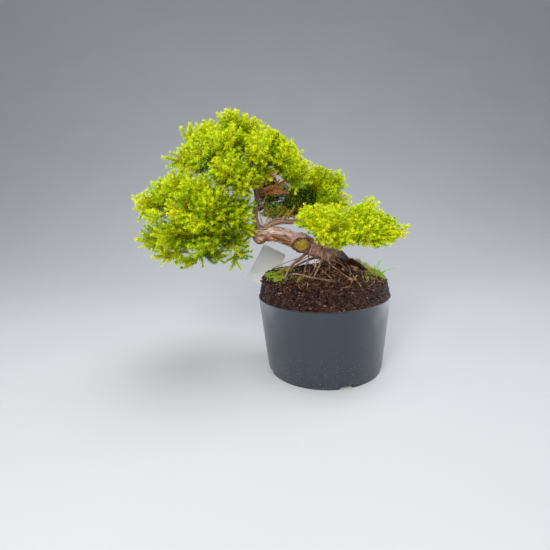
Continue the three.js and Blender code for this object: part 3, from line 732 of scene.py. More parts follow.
# Sawn juniper left to the weather is olive, with wavering growth rings and dark blotches of algae.
sawn = new_material("weathered_sawn_juniper", Roughness=0.75, Specular_IOR_Level=0.3)
place = add(sawn, "TexCoord", out="Object")
centred = add(sawn, "VectorMath", {0: place, 1: stub_end}, operation="SUBTRACT")
away = add(sawn, "VectorMath", {0: centred}, out="Value", operation="LENGTH")
wobble = add(sawn, "TexNoise", {"Vector": place, "Scale": 1 / (5 * MM), "Detail": 3})
pushed = add(sawn, "Math", {0: wobble, 1: 2.4 * MM, 2: away}, operation="MULTIPLY_ADD")
rings = add(sawn, "Math", {0: pushed, 1: 2 * math.pi / (1.3 * MM)}, operation="MULTIPLY")
ring_wave = add(sawn, "Math", {0: rings}, operation="SINE")
ring_share = add(sawn, "MapRange", {"Value": ring_wave, "From Min": -1})
ring_colour = add(sawn, "ValToRGB", {0: ring_share}, [(0.0, "#7d6d1f"), (0.5, "#a2922c"), (1.0, "#b9aa45")])
blotch = add(sawn, "ValToRGB", {0: wobble}, [(0.32, "#6a5a20"), (0.5, "#c9c070"), (0.7, "#ffffff")])
add(sawn, "Mix", {0: 0.7, 6: ring_colour, 7: blotch}, to="Base Color", blend_type="MULTIPLY", **BLEND)
add(sawn, "Bump", {"Height": ring_share, "Strength": 0.4, "Distance": 0.3 * MM}, to="Normal")
piece("sawn_stub_face", bm, sawn, "bark", smooth=40)

collar_line = []
for i in range(COLLAR_STEPS + 1):
    turn = 2 * math.pi * i / COLLAR_STEPS
    swing = 1 + 0.05 * math.sin(3 * turn) + 0.04 * math.sin(5 * turn + 1)
    at = (FACE_HALF[0] * 1.08 * swing * math.cos(turn), FACE_HALF[1] * 1.14 * swing * math.sin(turn), 0)
    collar_line.append(face_place @ Vector(at))
collar_radii = [0.0015 + 0.0004 * math.sin(7 * i) for i in range(COLLAR_STEPS + 1)]
bm = bmesh.new()
bm.from_mesh(finished_mesh(tube_object("collar", [(collar_line, collar_radii)])))
bmesh.ops.subdivide_edges(bm, edges=bm.edges, cuts=1)
for corner in bm.verts:
    corner.co += Vector((1, 1, 1)) * 0.0008 * noise.noise(corner.co / 0.0014)
# The healing bark is dark, ridged and rough, with pale flakes.
callus = new_material("healing_juniper_bark", Roughness=0.9, Specular_IOR_Level=0.05)
place = add(callus, "TexCoord", out="Object")
ridges = add(callus, "TexNoise", {"Vector": place, "Scale": 1 / (1.6 * MM), "Detail": 4})
ridge_tones = [(0.35, "#2c180f"), (0.5, "#5c3a28"), (0.62, "#8a6048"), (0.75, "#b8927a")]
add(callus, "ValToRGB", {0: ridges}, ridge_tones, to="Base Color")
add(callus, "Bump", {"Height": ridges, "Strength": 0.9, "Distance": 0.8 * MM}, to="Normal")
piece("bark_collar", bm, callus, "bark", smooth=60)

# Bark flakes
# Thin curls of old bark stand off the underside of the trunk and round the burr, where it peels.
FLAKES = 150
rng = random.Random(21)
bm = bmesh.new()
bmesh.ops.create_cube(bm, size=1)
lengthwise = [e for e in bm.edges if abs(e.verts[0].co.x - e.verts[1].co.x) > 0.5]
bmesh.ops.subdivide_edges(bm, edges=lengthwise, cuts=2)
for corner in bm.verts:
    corner.co.z += 3.6 * corner.co.x**2
    corner.co.y *= 1 - 0.5 * abs(corner.co.x)
flake_mesh = meshed(bm, "flake")
copies = []
for i in range(FLAKES):
    k = int(rng.uniform(0.42, 0.93) * (len(trunk_line) - 2))
    ahead = (trunk_line[k + 1] - trunk_line[k]).normalized()
    side, over = across(ahead)
    turn = rng.uniform(-2.9, 0.3) if rng.random() < 0.75 else rng.uniform(0.3, 3.1)
    out = side * math.cos(turn) + over * math.sin(turn)
    seat = trunk_line[k] + out * (trunk_radii[k] * 0.99 + 0.2 * MM)
    lay = Matrix((ahead, out.cross(ahead), out)).transposed().to_4x4()
    tilt = Matrix.Rotation(rng.uniform(-0.35, 0.35), 4, "Y") @ Matrix.Rotation(rng.uniform(-0.4, 0.4), 4, "Z")
    size = [rng.uniform(*span) * MM for span in ((3, 8), (0.8, 2.2), (0.25, 0.4))]
    copies.append((Matrix.Translation(seat) @ lay @ tilt @ Matrix.Diagonal((*size, 1)), rng.random()))
# Loose old bark is dry and matt, from red-brown to a bleached grey-pink.
peeling = new_material("peeling_juniper_bark", Roughness=0.9, Specular_IOR_Level=0.05)
tone = add(peeling, "Attribute", out="Fac", attribute_name="tone")
flake_tones = [(0.0, "#5e3a26"), (0.4, "#9a6c4c"), (0.75, "#c79c7c"), (1.0, "#e2cabc")]
add(peeling, "ValToRGB", {0: tone}, flake_tones, to="Base Color")
piece("bark_flakes", scattered(flake_mesh, copies), peeling, "bark")

# Fine roots
# Thin pale and brown rootlets hang under the trunk and wander over the soil, where the compost has
# washed away from them. The first ones are drawn, the others grow at random.
ROOTLETS = [
    [(-16, -18, 145), (-11, -24, 141), (-4, -30, 137), (5, -34, 128), (6, -45, 121), (4, -52, 117)],
    [
        (0, -16, 146), (15, -26, 137), (24, -32, 130), (30, -37, 126), (27, -46, 121), (19, -50, 118),
        (9, -50, 119), (2, -46, 121),
    ],
    [(31, -12, 138), (37, -20, 135), (38, -30, 130), (31, -39, 125), (22, -43, 123)],
    [(-11, -20, 148), (-14, -28, 141), (-19, -25, 130), (-24, -38, 123), (-26, -48, 118)],
    [(7, -16, 149), (19, -18, 143), (30, -27, 133), (36, -39, 125), (40, -49, 119)],
    [(52, -30, 127), (59, -31, 125), (57, -38, 121), (50, -44, 119), (44, -44, 121)],
    [(26, -6, 143), (37, -4, 147), (44, -6, 142), (45, -7, 134)],
    [(-28, -18, 152), (-35, -20, 148), (-43, -22, 141), (-47, -7, 129)],
    [(-23, -22, 150), (-21, -26, 144), (-25, -30, 139), (-32, -24, 129), (-37, -37, 124)],
    [(-30, -6, 151), (-43, -2, 146), (-57, 2, 140), (-67, 40, 128)],
    [(-40, -57, 114), (-32, -54, 115), (-26, -64, 111), (-20, -69, 108)],
    [(-6, -18, 154), (2, -22, 147), (5, -26, 140), (3, -29, 130)],
    [(-46, -63, 111), (-41, -58, 113), (-39, -66, 109)],
    [(-22, -14, 156), (-32, -18, 150), (-44, -14, 142), (-58, -10, 134), (-64, -8, 128)],
    [(-18, -10, 154), (-32, -8, 146), (-46, -4, 138), (-60, 0, 130)],
    [(26, -16, 143), (30, -24, 137), (29, -32, 131), (24, -40, 126), (18, -44, 123)],
]
ROOTLET_STEP = 0.0015
UNDER_TRUNK = 58
HANGING = 140
ROOTLET_COUNT = 230
rng = random.Random(5)
rootlets = []  # each one's line, thickness and loss of thickness towards its end
for route in ROOTLETS:
    line = smooth_route(metres(route), ROOTLET_STEP)
    for at in line:
        at.z = max(at.z, soil_surface(at.x, at.y) + 1.1 * MM)
    rootlets.append((line, rng.uniform(0.45, 0.68) * MM, 0.35))
for i in range(ROOTLET_COUNT):
    hanging = i < HANGING
    if hanging:
        k = int(rng.uniform(0.02, 0.46 if i < UNDER_TRUNK else 0.2) * (len(trunk_line) - 1))
        turn = rng.uniform(-math.pi, 0.25) if i < UNDER_TRUNK else rng.uniform(-2.3, 1.3)
        around = Vector((math.cos(turn), math.sin(turn), -0.25)).normalized()
        at = trunk_line[k] + around * trunk_radii[k] * 0.98
    else:
        turn = rng.uniform(-math.pi, 0.2)
        r = SHOULDER * math.sqrt(rng.uniform(0.05, 0.95))
        at = Vector((r * math.cos(turn), r * math.sin(turn), 0))
        at.z = soil_surface(at.x, at.y)
    heading = turn + rng.uniform(-0.5, 0.5) if hanging else rng.uniform(0, 2 * math.pi)
    route = [at]
    for step in range(rng.randint(5, 9)):
        heading += rng.uniform(-1.2, 1.2)
        ahead = Vector((math.cos(heading), math.sin(heading), 0)) * rng.uniform(2.5, 5) * MM
        nxt = route[-1] + ahead
        if math.hypot(nxt.x, nxt.y) > SHOULDER - 0.003:
            break
        ground = soil_surface(nxt.x, nxt.y) + rng.uniform(-0.2, 0.9) * MM
        nxt.z = max(ground, route[-1].z - rng.uniform(2, 6) * MM) if hanging else ground
        route.append(nxt)
    if len(route) >= 4:
        thick = rng.uniform(0.2, 0.38) if hanging else rng.uniform(0.16, 0.3)
        rootlets.append((smooth_route(route, ROOTLET_STEP), thick * MM, 0.5))
root_routes = [
    (line, [thick * (1 - loss * i / len(line)) for i in range(len(line))]) for line, thick, loss in rootlets
]
# Thin root bark is dull. It changes from dark brown to straw along each root, and is darker in the
# washed compost of the front slope.
fibrous = new_material("fine_juniper_root", Roughness=0.8, Specular_IOR_Level=0.05)
place = add(fibrous, "TexCoord", out="Object")
change = add(fibrous, "TexNoise", {"Vector": place, "Scale": 1 / (9 * MM), "Detail": 3})
forward = add(fibrous, "SeparateXYZ", {0: place}, out="Y")
slope = {"From Min": -0.056, "From Max": -0.046, "To Min": -0.09, "To Max": 0.04}
washed = add(fibrous, "MapRange", {"Value": forward, **slope})
change = add(fibrous, "Math", {0: change, 1: washed}, operation="ADD")
root_tones = [(0.36, "#28170f"), (0.47, "#543626"), (0.56, "#8a6446"), (0.67, "#bf9a70")]
add(fibrous, "ValToRGB", {0: change}, root_tones, to="Base Color")
root_mesh = finished_mesh(tube_object("rootlets", root_routes, sides=6))
piece("fine_roots", root_mesh, fibrous, "bark", smooth=60)

# Moss
# Low cushions of moss and tiny weeds on the damp, undisturbed soil at the left and the right back.
MOSS_PATCHES = [  # each patch's middle, half width, share of the tufts, paleness (partly painted light) and height of growth
    ((-66, 6), 14, 0.18, 0.1, 1.0), ((-58, -18), 13, 0.12, 0.15, 0.9), ((-48, 30), 14, 0.10, 0.2, 1.2),
    ((44, 30), 13, 0.16, 1.0, 2.6), ((56, 14), 12, 0.16, 0.95, 2.2), ((68, -2), 9, 0.10, 0.2, 1.5),
    ((69, -18), 9, 0.10, 0.1, 1.2), ((20, 50), 20, 0.06, 0.4, 1.2), ((-34, -22), 10, 0.03, 0.0, 0.8),
    ((50, -30), 7, 0.03, 0.2, 0.8),
]
MOSS_TUFTS = 9000
rng = random.Random(3)
bm = bmesh.new()
bmesh.ops.create_cone(bm, cap_ends=True, segments=3, radius1=1, radius2=0, depth=1)
bmesh.ops.translate(bm, verts=bm.verts, vec=(0, 0, 0.5))
leaf_mesh = meshed(bm, "moss_leaf")
copies = []
for (px, py), half, share, pale, growth in MOSS_PATCHES:
    for i in range(int(MOSS_TUFTS * share)):
        x, y = (rng.gauss(middle / 1000, half / 1000 * 0.5) for middle in (px, py))
        if math.hypot(x, y) > SHOULDER - 0.002:
            continue
        thick = noise.noise(Vector((x, y, 4)) / 0.005)
        if thick < -0.16:
            continue
        height = rng.uniform(1.2, 2.8) * MM * (0.8 + 1.5 * thick) * growth
        lean = Matrix.Rotation(rng.uniform(0, 6.28), 4, "Z") @ Matrix.Rotation(rng.uniform(0, 0.8), 4, "X")
        at = Matrix.Translation((x, y, soil_surface(x, y) - 0.3 * MM))
        width = rng.uniform(0.3, 0.6) * MM
        shape = Matrix.Diagonal((width, width, height, 1))
        # Paler patches take the upper tones, which at the right back are partly painted light.
        copies.append((at @ lean @ shape, 0.5 * rng.random() + 0.5 * pale))
# Moss is matt. The lower half of the tones is fresh green, and the upper half is the pale yellow-green of
# the taller tufts at the right, made paler still as painted light falling on them from above and behind.
mossy = new_material("cushion_moss", Roughness=0.8, Specular_IOR_Level=0.08)
shade = add(mossy, "Attribute", out="Fac", attribute_name="tone")
moss_tones = [
    (0.0, "#46620f"), (0.25, "#8cab1c"), (0.5, "#b2c440"), (0.6, "#b4ae5c"), (0.75, "#ccd676"),
    (1.0, "#e2e8a6"),
]
add(mossy, "ValToRGB", {0: shade}, moss_tones, to="Base Color")
piece("moss_cushions", scattered(leaf_mesh, copies), mossy, "grass")

# Grass tuft
# A few blades of a weed grass at the right, keeled along the middle, one of them arching over.
GRASS_AT = Vector((0.070, 0.004, 0.119))
GRASS_DEEP = Vector((0, 0, -0.004))
BLADES = [  # where each blade ends and where it bends, from the tuft's crown
    ((7, -3, 30), (1, -1, 16)), ((29, -4, 12), (10, -1, 12)), ((-2, -2, 22), (-2, -1, 11)),
    ((9, 3, 13), (3, 1, 8)), ((7, -6, 8), (3, -3, 6)), ((-7, 3, 8), (-3, 1, 6)),
    ((12, -6, 10), (5, -3, 8)), ((-4, -6, 11), (-2, -3, 7)), ((4, -8, 14), (2, -4, 9)),
]
BLADE_STEPS = 8


def arch(start, bend, end, share):
    """The place and the heading at a share of an arch that runs from start to end past bend."""
    at = start * (1 - share) ** 2 + bend * 2 * share * (1 - share) + end * share * share
    return at, ((bend - start) * (1 - share) + (end - bend) * share).normalized()


bm = bmesh.new()
for blade in BLADES:
    end, bend = (GRASS_AT + at for at in metres(blade))
    ring = None
    for i in range(BLADE_STEPS + 1):
        share = i / BLADE_STEPS
        at, ahead = arch(GRASS_AT + GRASS_DEEP, bend, end, share)
        side = ahead.cross(Vector((0.3, 1, 0.1))).normalized()
        width = 1.0 * MM * (1 - share**2) + 0.08 * MM
        keel = side.cross(ahead) * 0.25 * MM
        corners = [at + side * width + keel, at - side * width + keel, at - keel * 0.6]
        fresh = [bm.verts.new(c) for c in corners]
        if ring:
            for a, b in ((0, 1), (1, 2), (2, 0)):
                bm.faces.new((ring[a], ring[b], fresh[b], fresh[a]))
        else:
            bm.faces.new(fresh)
        ring = fresh
    bm.faces.new(ring)
bmesh.ops.recalc_face_normals(bm, faces=bm.faces)
# A grass blade is satin and lets some light through: pale where it leaves the soil, green above.
blade_green = new_material("grass_blade", Roughness=0.5, Subsurface_Weight=0.1)
height = add(blade_green, "SeparateXYZ", {0: add(blade_green, "TexCoord", out="Object")}, out="Z")
rise = add(blade_green, "MapRange", {"Value": height, "From Min": 0.118, "From Max": 0.135})
blade_tones = [(0.0, "#d2df8c"), (0.3, "#a2d03c"), (1.0, "#7cc850")]
add(blade_green, "ValToRGB", {0: rise}, blade_tones, to="Base Color")
piece("grass_blades", bm, blade_green, "grass", "grass_tuft", smooth=50)

# Plant label
# A T-shaped label punched from white polystyrene sheet, pushed into the soil at the back left. It
# is blank.
LABEL_HALF = (0.029, 0.018)
LABEL_CORNER = 0.004
LABEL_EDGE = 0.00018
LABEL_THICK = 0.0009
STEM_HALF = 0.0055
STEM_END = LABEL_HALF[1] + 0.052
STEM_POINT = 0.008
LABEL_AT = Vector((-0.076, 0.057, 0.128))
LABEL_LEAN = math.radians(-61)
LABEL_TIP = math.radians(6)
half_w, half_h = LABEL_HALF
bm = bmesh.new()
outline = [
    (-half_w, half_h), (-half_w, -half_h), (-STEM_HALF, -half_h), (-STEM_HALF, STEM_POINT - STEM_END),
    (0, -STEM_END), (STEM_HALF, STEM_POINT - STEM_END), (STEM_HALF, -half_h), (half_w, -half_h),
    (half_w, half_h),
]
corners = [bm.verts.new((x, y, -LABEL_THICK / 2)) for x, y in outline]
bm.faces.new(corners)
bmesh.ops.bevel(
    bm, geom=[corners[0], corners[1], corners[-2], corners[-1]], offset=LABEL_CORNER, offset_type="OFFSET",
    segments=8, profile=0.5, affect="VERTICES", material=-1,
)
raised = bmesh.ops.extrude_face_region(bm, geom=bm.faces[:])["geom"]
front = [v for v in raised if isinstance(v, bmesh.types.BMVert)]
bmesh.ops.translate(bm, verts=front, vec=(0, 0, LABEL_THICK))
bmesh.ops.recalc_face_normals(bm, faces=bm.faces)
rim = [e for e in bm.edges if e.calc_face_angle(0) > 1.2 and abs(e.verts[0].co.z - e.verts[1].co.z) < 1e-6]
bmesh.ops.bevel(
    bm, geom=rim, offset=LABEL_EDGE, offset_type="OFFSET", segments=2, profile=0.5, affect="EDGES",
    material=-1,
)
stand = (
    Matrix.Translation(LABEL_AT) @ Matrix.Rotation(LABEL_TIP, 4, "X")
    @ Matrix.Rotation(LABEL_LEAN, 4, "Y") @ Matrix.Rotation(math.pi / 2, 4, "X")
)
bmesh.ops.transform(bm, matrix=stand, verts=bm.verts)
# Rolled polystyrene sheet is smooth and bright white, with a slightly uneven shine from handling.
white = new_material("white_polystyrene_sheet", IOR=1.55)
place = add(white, "TexCoord", out="Object")
scuffs = add(white, "TexNoise", {"Vector": place, "Scale": 1 / (16 * MM), "Detail": 5})
add(white, "ValToRGB", {0: scuffs}, [(0.35, "#f7f8f5"), (0.6, "#fdfdfb")], to="Base Color")
shine_range = {"From Min": 0.3, "From Max": 0.7, "To Min": 0.34, "To Max": 0.55}
add(white, "MapRange", {"Value": scuffs, **shine_range}, to="Roughness")
piece("blank_plant_label", bm, white, "label_plastic", "plant_label", smooth=30)

# Foliage
# Every spray is a woody stem with short twigs round it, and every twig ends in a plume of shoots that
# curve up side by side. A shoot is clad with awl-shaped needles in whorls of three and ends in a
# blunt bud. New growth is bright yellow-green; inside the crown the needles are deep green, partly
# older needles and partly painted shade.
NEEDLE_LENGTH = 0.0066
NEEDLE_WIDTH = 0.0016
NEEDLE_LEAN = 52
WHORL_STEP = 0.0023
SHOOT_WHORLS = (4, 6, 8, 10, 12)
SHOOT_KINDS = 4
SHOOT_BEND = 0.30
STEM_RADII = (1.6, 0.7)  # in millimetres, as tapered takes them
TWIG_RADII = (0.8, 0.6)
STEM_LIFT = 0.14
PLUMES = 11
TWIG_LENGTH = 0.014
LEADER_LENGTH = 0.022
SIDE_LENGTH = 0.0200
SIDE_LOSS = 0.0060  # how much shorter the last side shoot of a twig is than the first
SIDE_SHOOTS = 6
FIRST_TWIG = 0.08
LEADER_REACH = 0.0245  # how far the plume at the tip ends beyond its foot
PLUME_REACH = 0.024
GOLDEN_TURN = 2.4
# How dark with age and painted shade a limb's needles are, from 0 for new growth, and those of single sprays.
LIMB_AGE_AND_SHADE = {"right_front": -0.12, "right": -0.05, "crown_back": 0.6, "left_back": 0.5, "left_low": 0.12}
SPRAY_AGE_AND_SHADE = {
    "crown_back_1": 1.0, "right_back_1": 0.9, "right_back_2": 0.4, "right_back_3": 0.7, "left_front_1": 0.15,
    "left_low_1": 0.35, "left_low_2": 0.3, "left_low_3": 0.35, "left_low_4": 0.1, "left_low_5": 0.05,
}
# How large a spray's plumes are where it has less room, and where else, besides its tip, it reaches.
SPRAY_ROOM = {
    "crown_left_5": 0.7, "crown_left_4": 0.9, "right_4": 0.9, "right_5": 0.78, "right_6": 0.85,
    "right_front_1": 0.85,
}
ALSO_REACHES = {
    "crown_back_1": [(-72, 30, 205), (-59, 34, 202), (-48, 40, 215), (-66, 36, 224)],
    "right_back_1": [(-43, 20, 205), (-37, 30, 223), (-70, -2, 209), (-59, 0, 211)],
    "right_back_3": [(-42, 42, 228), (-51, 44, 236)],
    "crown_left_2": [(-152, 25, 262), (-178, 12, 266)],
    "crown_left_1": [(-148, -20, 264), (-165, -4, 264), (-158, 4, 259)],
    "left_front_5": [(-209, -30, 210)],
    "left_front_4": [(-138, -32, 249)],
    "left_1": [(-172, -8, 262), (-160, -12, 258)],
    "left_4": [(-222, 0, 207)],
    "left_low_1": [(-95, -12, 173), (-98, -10, 157), (-113, -24, 156)],
    "left_front_1": [(-92, -20, 185), (-90, -18, 221)],
    "right_3": [(65, 5, 216)],
    "crown_left_4": [(-166, 10, 310)],
    "left_low_5": [(-182, -15, 157), (-205, -20, 166)],
    "left_low_3": [(-139, -10, 152), (-126, -25, 156), (-166, -30, 153)],
    "left_low_2": [(-157, -50, 170)],
    "arm_1": [(-33, 0, 245)],
    "crown_right_1": [(-66, -12, 258), (-72, -14, 252)],
    "crown_front_1": [(-130, -22, 247)],
    "right_front_1": [(-1, -45, 174)],
}

bm = bmesh.new()
bmesh.ops.create_cone(
    bm, cap_ends=True, segments=3, radius1=0.5, radius2=0, depth=1, matrix=Matrix.Translation((0, 0, 0.5))
)
bm.normal_update()
needle_layer = bm.verts.layers.float.new("needle")
upper_layer = bm.faces.layers.float.new("upper")
for corner in bm.verts:
    corner[needle_layer] = corner.co.z
for face in bm.faces:
    face[upper_layer] = 1 if face.normal.y < -0.5 else 0
needle_mesh = meshed(bm, "needle")
bm = bmesh.new()
bmesh.ops.create_cone(
    bm, cap_ends=True, segments=4, radius1=0.0008, radius2=0.0006, depth=1,
    matrix=Matrix.Translation((0, 0, 0.5)),
)
core_mesh = meshed(bm, "core")


def leafy(*names):
    """An empty bmesh with a layer for each named value of its vertices, and the layers."""
    bm = bmesh.new()
    layers = [bm.verts.layers.float.new(name) for name in names]
    bm.faces.layers.float.new("upper")
    return bm, layers


def place_needle(bm, axis, turn, lean, size, width, values):
    """Adds a needle that leans out from a shoot's axis, with its flat upper face to the axis."""
    aim = Matrix.Rotation(turn, 4, "Z") @ Matrix.Rotation(-lean, 4, "X")
    shape = Matrix.Diagonal((NEEDLE_WIDTH * width, NEEDLE_WIDTH * width * 0.7, NEEDLE_LENGTH * size, 1))
    stamp(bm, needle_mesh, axis @ aim @ shape, values)


def shoot_template(whorls, draw, lean=NEEDLE_LEAN, width=1.0, bud=7):
    """A needle-clad shoot up +Z from the origin, curved towards +X, with a blunt bud on top."""
    length = whorls * WHORL_STEP
    bm, (needle_layer, shoot_layer) = leafy("needle", "shoot")

    def axis(share):
        place = Matrix.Translation((SHOOT_BEND * length * share * share, 0, length * share))
        return place @ Matrix.Rotation(math.atan(2 * SHOOT_BEND * share), 4, "Y")

    bm.from_mesh(core_mesh)
    for corner in bm.verts:
        share = corner.co.z
        corner.co = axis(share) @ Vector((corner.co.x, corner.co.y, 0))
        corner[needle_layer] = -1
        corner[shoot_layer] = share
    for k in range(whorls):
        share = (k + 0.3) / whorls
        for j in range(3):
            turn = 2 * math.pi * j / 3 + math.pi / 3 * (k % 2) + draw.uniform(-0.22, 0.22)
            size = (1 - 0.22 * share**2) * draw.uniform(0.86, 1.1)
            angle = math.radians(lean - 17 * share + draw.uniform(-6, 6))
            fresh = share + draw.uniform(-0.12, 0.12)
            place_needle(bm, axis(share), turn, angle, size, width, {shoot_layer: fresh})
    for j in range(bud):
        turn = 2 * math.pi * j / (bud - 2) + draw.uniform(-0.3, 0.3)
        angle = math.radians(36 if j < bud - 2 else 10)
        place_needle(bm, axis(0.97), turn, angle, 0.58 * draw.uniform(0.85, 1.1), width, {shoot_layer: 1})
    return meshed(bm, "shoot")


def leaning(ahead, turn, out_share, up_share):
    """A direction that leans out from a stem, at a turn round it, and a little up to the light."""
    side, over = across(ahead)
    way = ahead * 0.8 + (side * math.cos(turn) + over * math.sin(turn)) * out_share
    return (way.normalized() + Vector((0, 0, up_share))).normalized()


def plume_shoots(foot, ahead, turn, scale, outer, draw):
    """The shoots of one twig's plume: foot, direction, bend, length and how far out it sits."""
    leader = LEADER_LENGTH * scale * draw.uniform(0.92, 1.08)
    shoots = [(foot + ahead * 0.004 * scale, ahead, Vector((0, 0, 1)), leader, outer)]
    for j in range(SIDE_SHOOTS):
        share = (j + draw.uniform(0.1, 0.9)) / SIDE_SHOOTS
        at = foot + ahead * TWIG_LENGTH * scale * (0.1 + 0.9 * share)
        way = leaning(ahead, turn + GOLDEN_TURN * j + draw.uniform(-0.3, 0.3), 0.88, 0.27)
        length = scale * (SIDE_LENGTH - SIDE_LOSS * share) * draw.uniform(0.88, 1.08)
        length *= 1 + 0.25 * min(0, way.z)
        # Side shoots near the twig's foot are darker: painted shade inside the plume.
        shoots.append((at, way, ahead, length, outer * (0.72 + 0.28 * share)))
    return shoots


def grow_spray(foot, tip, draw, plumes, room, also):
    """All the shoots of one spray, and the places along its stem and its twigs."""
    reach = (tip - foot).length
    middle = foot.lerp(tip, 0.5) + Vector((0, 0, reach * STEM_LIFT))

    def stem(t):
        return arch(foot, middle, tip, t)

    top = max(0.3, 1 - LEADER_REACH / reach)
    shoots = plume_shoots(*stem(top), draw.uniform(0, 6), 1.1, 1, draw)
    lines = [[stem((top + 0.1) * i / 8)[0] for i in range(9)]]
    for k in range(plumes):
        t = FIRST_TWIG + (top + 0.05 - FIRST_TWIG) * (k + draw.uniform(0.2, 0.8)) / plumes
        turn = GOLDEN_TURN * k + draw.uniform(-0.4, 0.4)
        start, along = stem(t)
        ahead = leaning(along, turn, 0.92 - 0.25 * t, 0.42 + 0.16 * math.sin(turn))
        scale = (1.06 - 0.16 * t) * draw.uniform(0.88, 1.1) * room * (1 + 0.5 * min(0, ahead.z))
        lines.append([start + ahead * TWIG_LENGTH * scale * i / 2 for i in range(3)])
        # Plumes near the stem's foot are darker, partly older growth and partly painted shade deep in the
        # spray.
        shoots += plume_shoots(start, ahead, turn, scale, 0.62 + 0.4 * t + draw.uniform(-0.34, 0.22), draw)
    bounded = len(shoots)
    for goal in also:
        near = min((stem(0.1 + 0.08 * i)[0] for i in range(11)), key=lambda at: (at - goal).length)
        ahead = (goal - near).normalized()
        start = near + ahead * max(0, (goal - near).length - PLUME_REACH)
        lines.append([near.lerp(start + ahead * TWIG_LENGTH, i / 3) for i in range(4)])
        shoots += plume_shoots(start, ahead, draw.uniform(0, 6), 1, 0.9, draw)
    kept = shoots[bounded:]
    for at, way, bend, length, outer in shoots[:bounded]:
        beyond = (at + (way * 0.9 + bend * 0.1) * length - tip).dot(stem(1)[1])
        kept.append((at, way, bend, length - max(0, beyond), outer))
    return kept, lines


def nearest_whorls(length):
    """The number of whorls of the shoot whose own length is nearest to the length."""
    return min(SHOOT_WHORLS, key=lambda n: abs(n * WHORL_STEP - length))


def set_up(way, bend):
    """The turn that points +Z along a way, with +X on the side to which it bends."""
    inward = bend - way * bend.dot(way)
    inward = inward.normalized() if inward.length > 0.01 else way.orthogonal().normalized()
    return Matrix((inward, way.cross(inward), way)).transposed().to_4x4()


def spray_mesh(foot, tip, draw, templates, plumes=PLUMES, thin=0.0, room=1.0, also=()):
    """One spray as a bmesh, with the values that its material reads."""
    shoots, lines = grow_spray(foot, tip, draw, plumes, room, also)
    routes = [tapered(line, *(TWIG_RADII if i else STEM_RADII)) for i, line in enumerate(lines)]
    stem_mesh = finished_mesh(tube_object("stems", routes, sides=4))
    bm, (needle_layer, shoot_layer, tint_layer, outer_layer) = leafy("needle", "shoot", "tint", "outer")
    bm.from_mesh(stem_mesh)
    bpy.data.meshes.remove(stem_mesh)
    for corner in bm.verts:
        corner[needle_layer] = -1
        corner[tint_layer] = 0.5
    whole = draw.uniform(-0.2, 0.2)
    hue_of = {shoot[-1]: draw.uniform(-0.3, 0.3) for shoot in shoots}
    for at, way, bend, length, outer in shoots:
        if draw.random() < thin:
            continue
        whorls = nearest_whorls(length)
        grow = max(0.6, length / (whorls * WHORL_STEP))
        place = Matrix.Translation(at) @ set_up(way, bend) @ Matrix.Scale(grow, 4)
        tint = min(1, max(0, 0.5 + whole + hue_of[outer] + draw.uniform(-0.3, 0.3)))
        tone = outer + draw.uniform(-0.17, 0.17)
        stamp(bm, draw.choice(templates[whorls]), place, {tint_layer: tint, outer_layer: tone})
    return bm


shoot_meshes = {
    whorls: [shoot_template(whorls, random.Random(40 * whorls + i)) for i in range(SHOOT_KINDS)]
    for whorls in SHOOT_WHORLS
}

# Living needles are waxy and let a little light through. The colour goes from deep green inside the spray
# to bright yellow-green at the tips of its outer shoots, and the feet of shoots and needles are darker: in
# part older growth, in part painted shade between the shoots. The upper face of each needle is paler,
# and the young twigs show orange.
needle_leaf = new_material(
    "living_juniper_needle", Roughness=0.5, Specular_IOR_Level=0.03, Subsurface_Weight=0.1,
    Subsurface_Scale=MM,
)
needle, shoot, tint, outer, upper = (
    add(needle_leaf, "Attribute", out="Fac", attribute_name=name)
    for name in ("needle", "shoot", "tint", "outer", "upper")
)
# The tone falls towards inner shoots and the feet of shoots and needles, which paints shade between them.
young_and_lit = 0.035
for value, weight in ((shoot, 0.14), (outer, 0.56), (needle, 0.27)):
    young_and_lit = add(needle_leaf, "Math", {0: value, 1: weight, 2: young_and_lit}, operation="MULTIPLY_ADD")
green, bluish = (
    add(needle_leaf, "ValToRGB", {0: young_and_lit}, list(zip((0.02, 0.2, 0.42, 0.64, 0.9), codes)))
    for codes in (
        ("#12280a", "#31500e", "#8eaa0c", "#d2dc04", "#f2f212"),
        ("#0b2814", "#204c22", "#64a01c", "#acd20e", "#dcee1c"),
    )
)
body = add(needle_leaf, "Mix", {0: tint, 6: green, 7: bluish}, **BLEND)
pale_share = add(needle_leaf, "Math", {0: upper, 1: 0.26}, operation="MULTIPLY")
body = add(needle_leaf, "Mix", {0: pale_share, 6: body, 7: "#e2ee2a"}, **BLEND)
is_stem = add(needle_leaf, "Math", {0: needle, 1: -0.5}, operation="LESS_THAN")
stem_bark = add(needle_leaf, "ValToRGB", {0: shoot}, [(0.0, "#84541c"), (0.3, "#c09028"), (0.7, "#b8c024")])
add(needle_leaf, "Mix", {0: is_stem, 6: body, 7: stem_bark}, to="Base Color", **BLEND)

for limb_index, (limb_name, limb) in enumerate(LIMBS.items()):
    line = limb_lines[limb_name]
    for i, tip in enumerate(metres(limb["tips"])):
        share = limb["bears_from"] + (1 - limb["bears_from"]) * (i + 0.5) / len(limb["tips"])
        foot = line[round(min(0.985, share) * (len(line) - 1))]
        spray_name = f"{limb_name}_{i + 1}"
        bm = spray_mesh(
            foot, tip, random.Random(100 * limb_index + i), shoot_meshes, room=SPRAY_ROOM.get(spray_name, 1),
            also=metres(ALSO_REACHES.get(spray_name, ())),
        )
        # Old and shaded sprays are painted darker and more bluish green.
        age_and_shade = SPRAY_AGE_AND_SHADE.get(spray_name, LIMB_AGE_AND_SHADE.get(limb_name, 0))
        outer_layer, tint_layer = bm.verts.layers.float["outer"], bm.verts.layers.float["tint"]
        for corner in bm.verts:
            corner[outer_layer] -= age_and_shade
            corner[tint_layer] = min(1, corner[tint_layer] + 0.6 * max(0, age_and_shade))
        piece(f"foliage_{spray_name}", bm, needle_leaf, "needles", f"spray_{spray_name}")

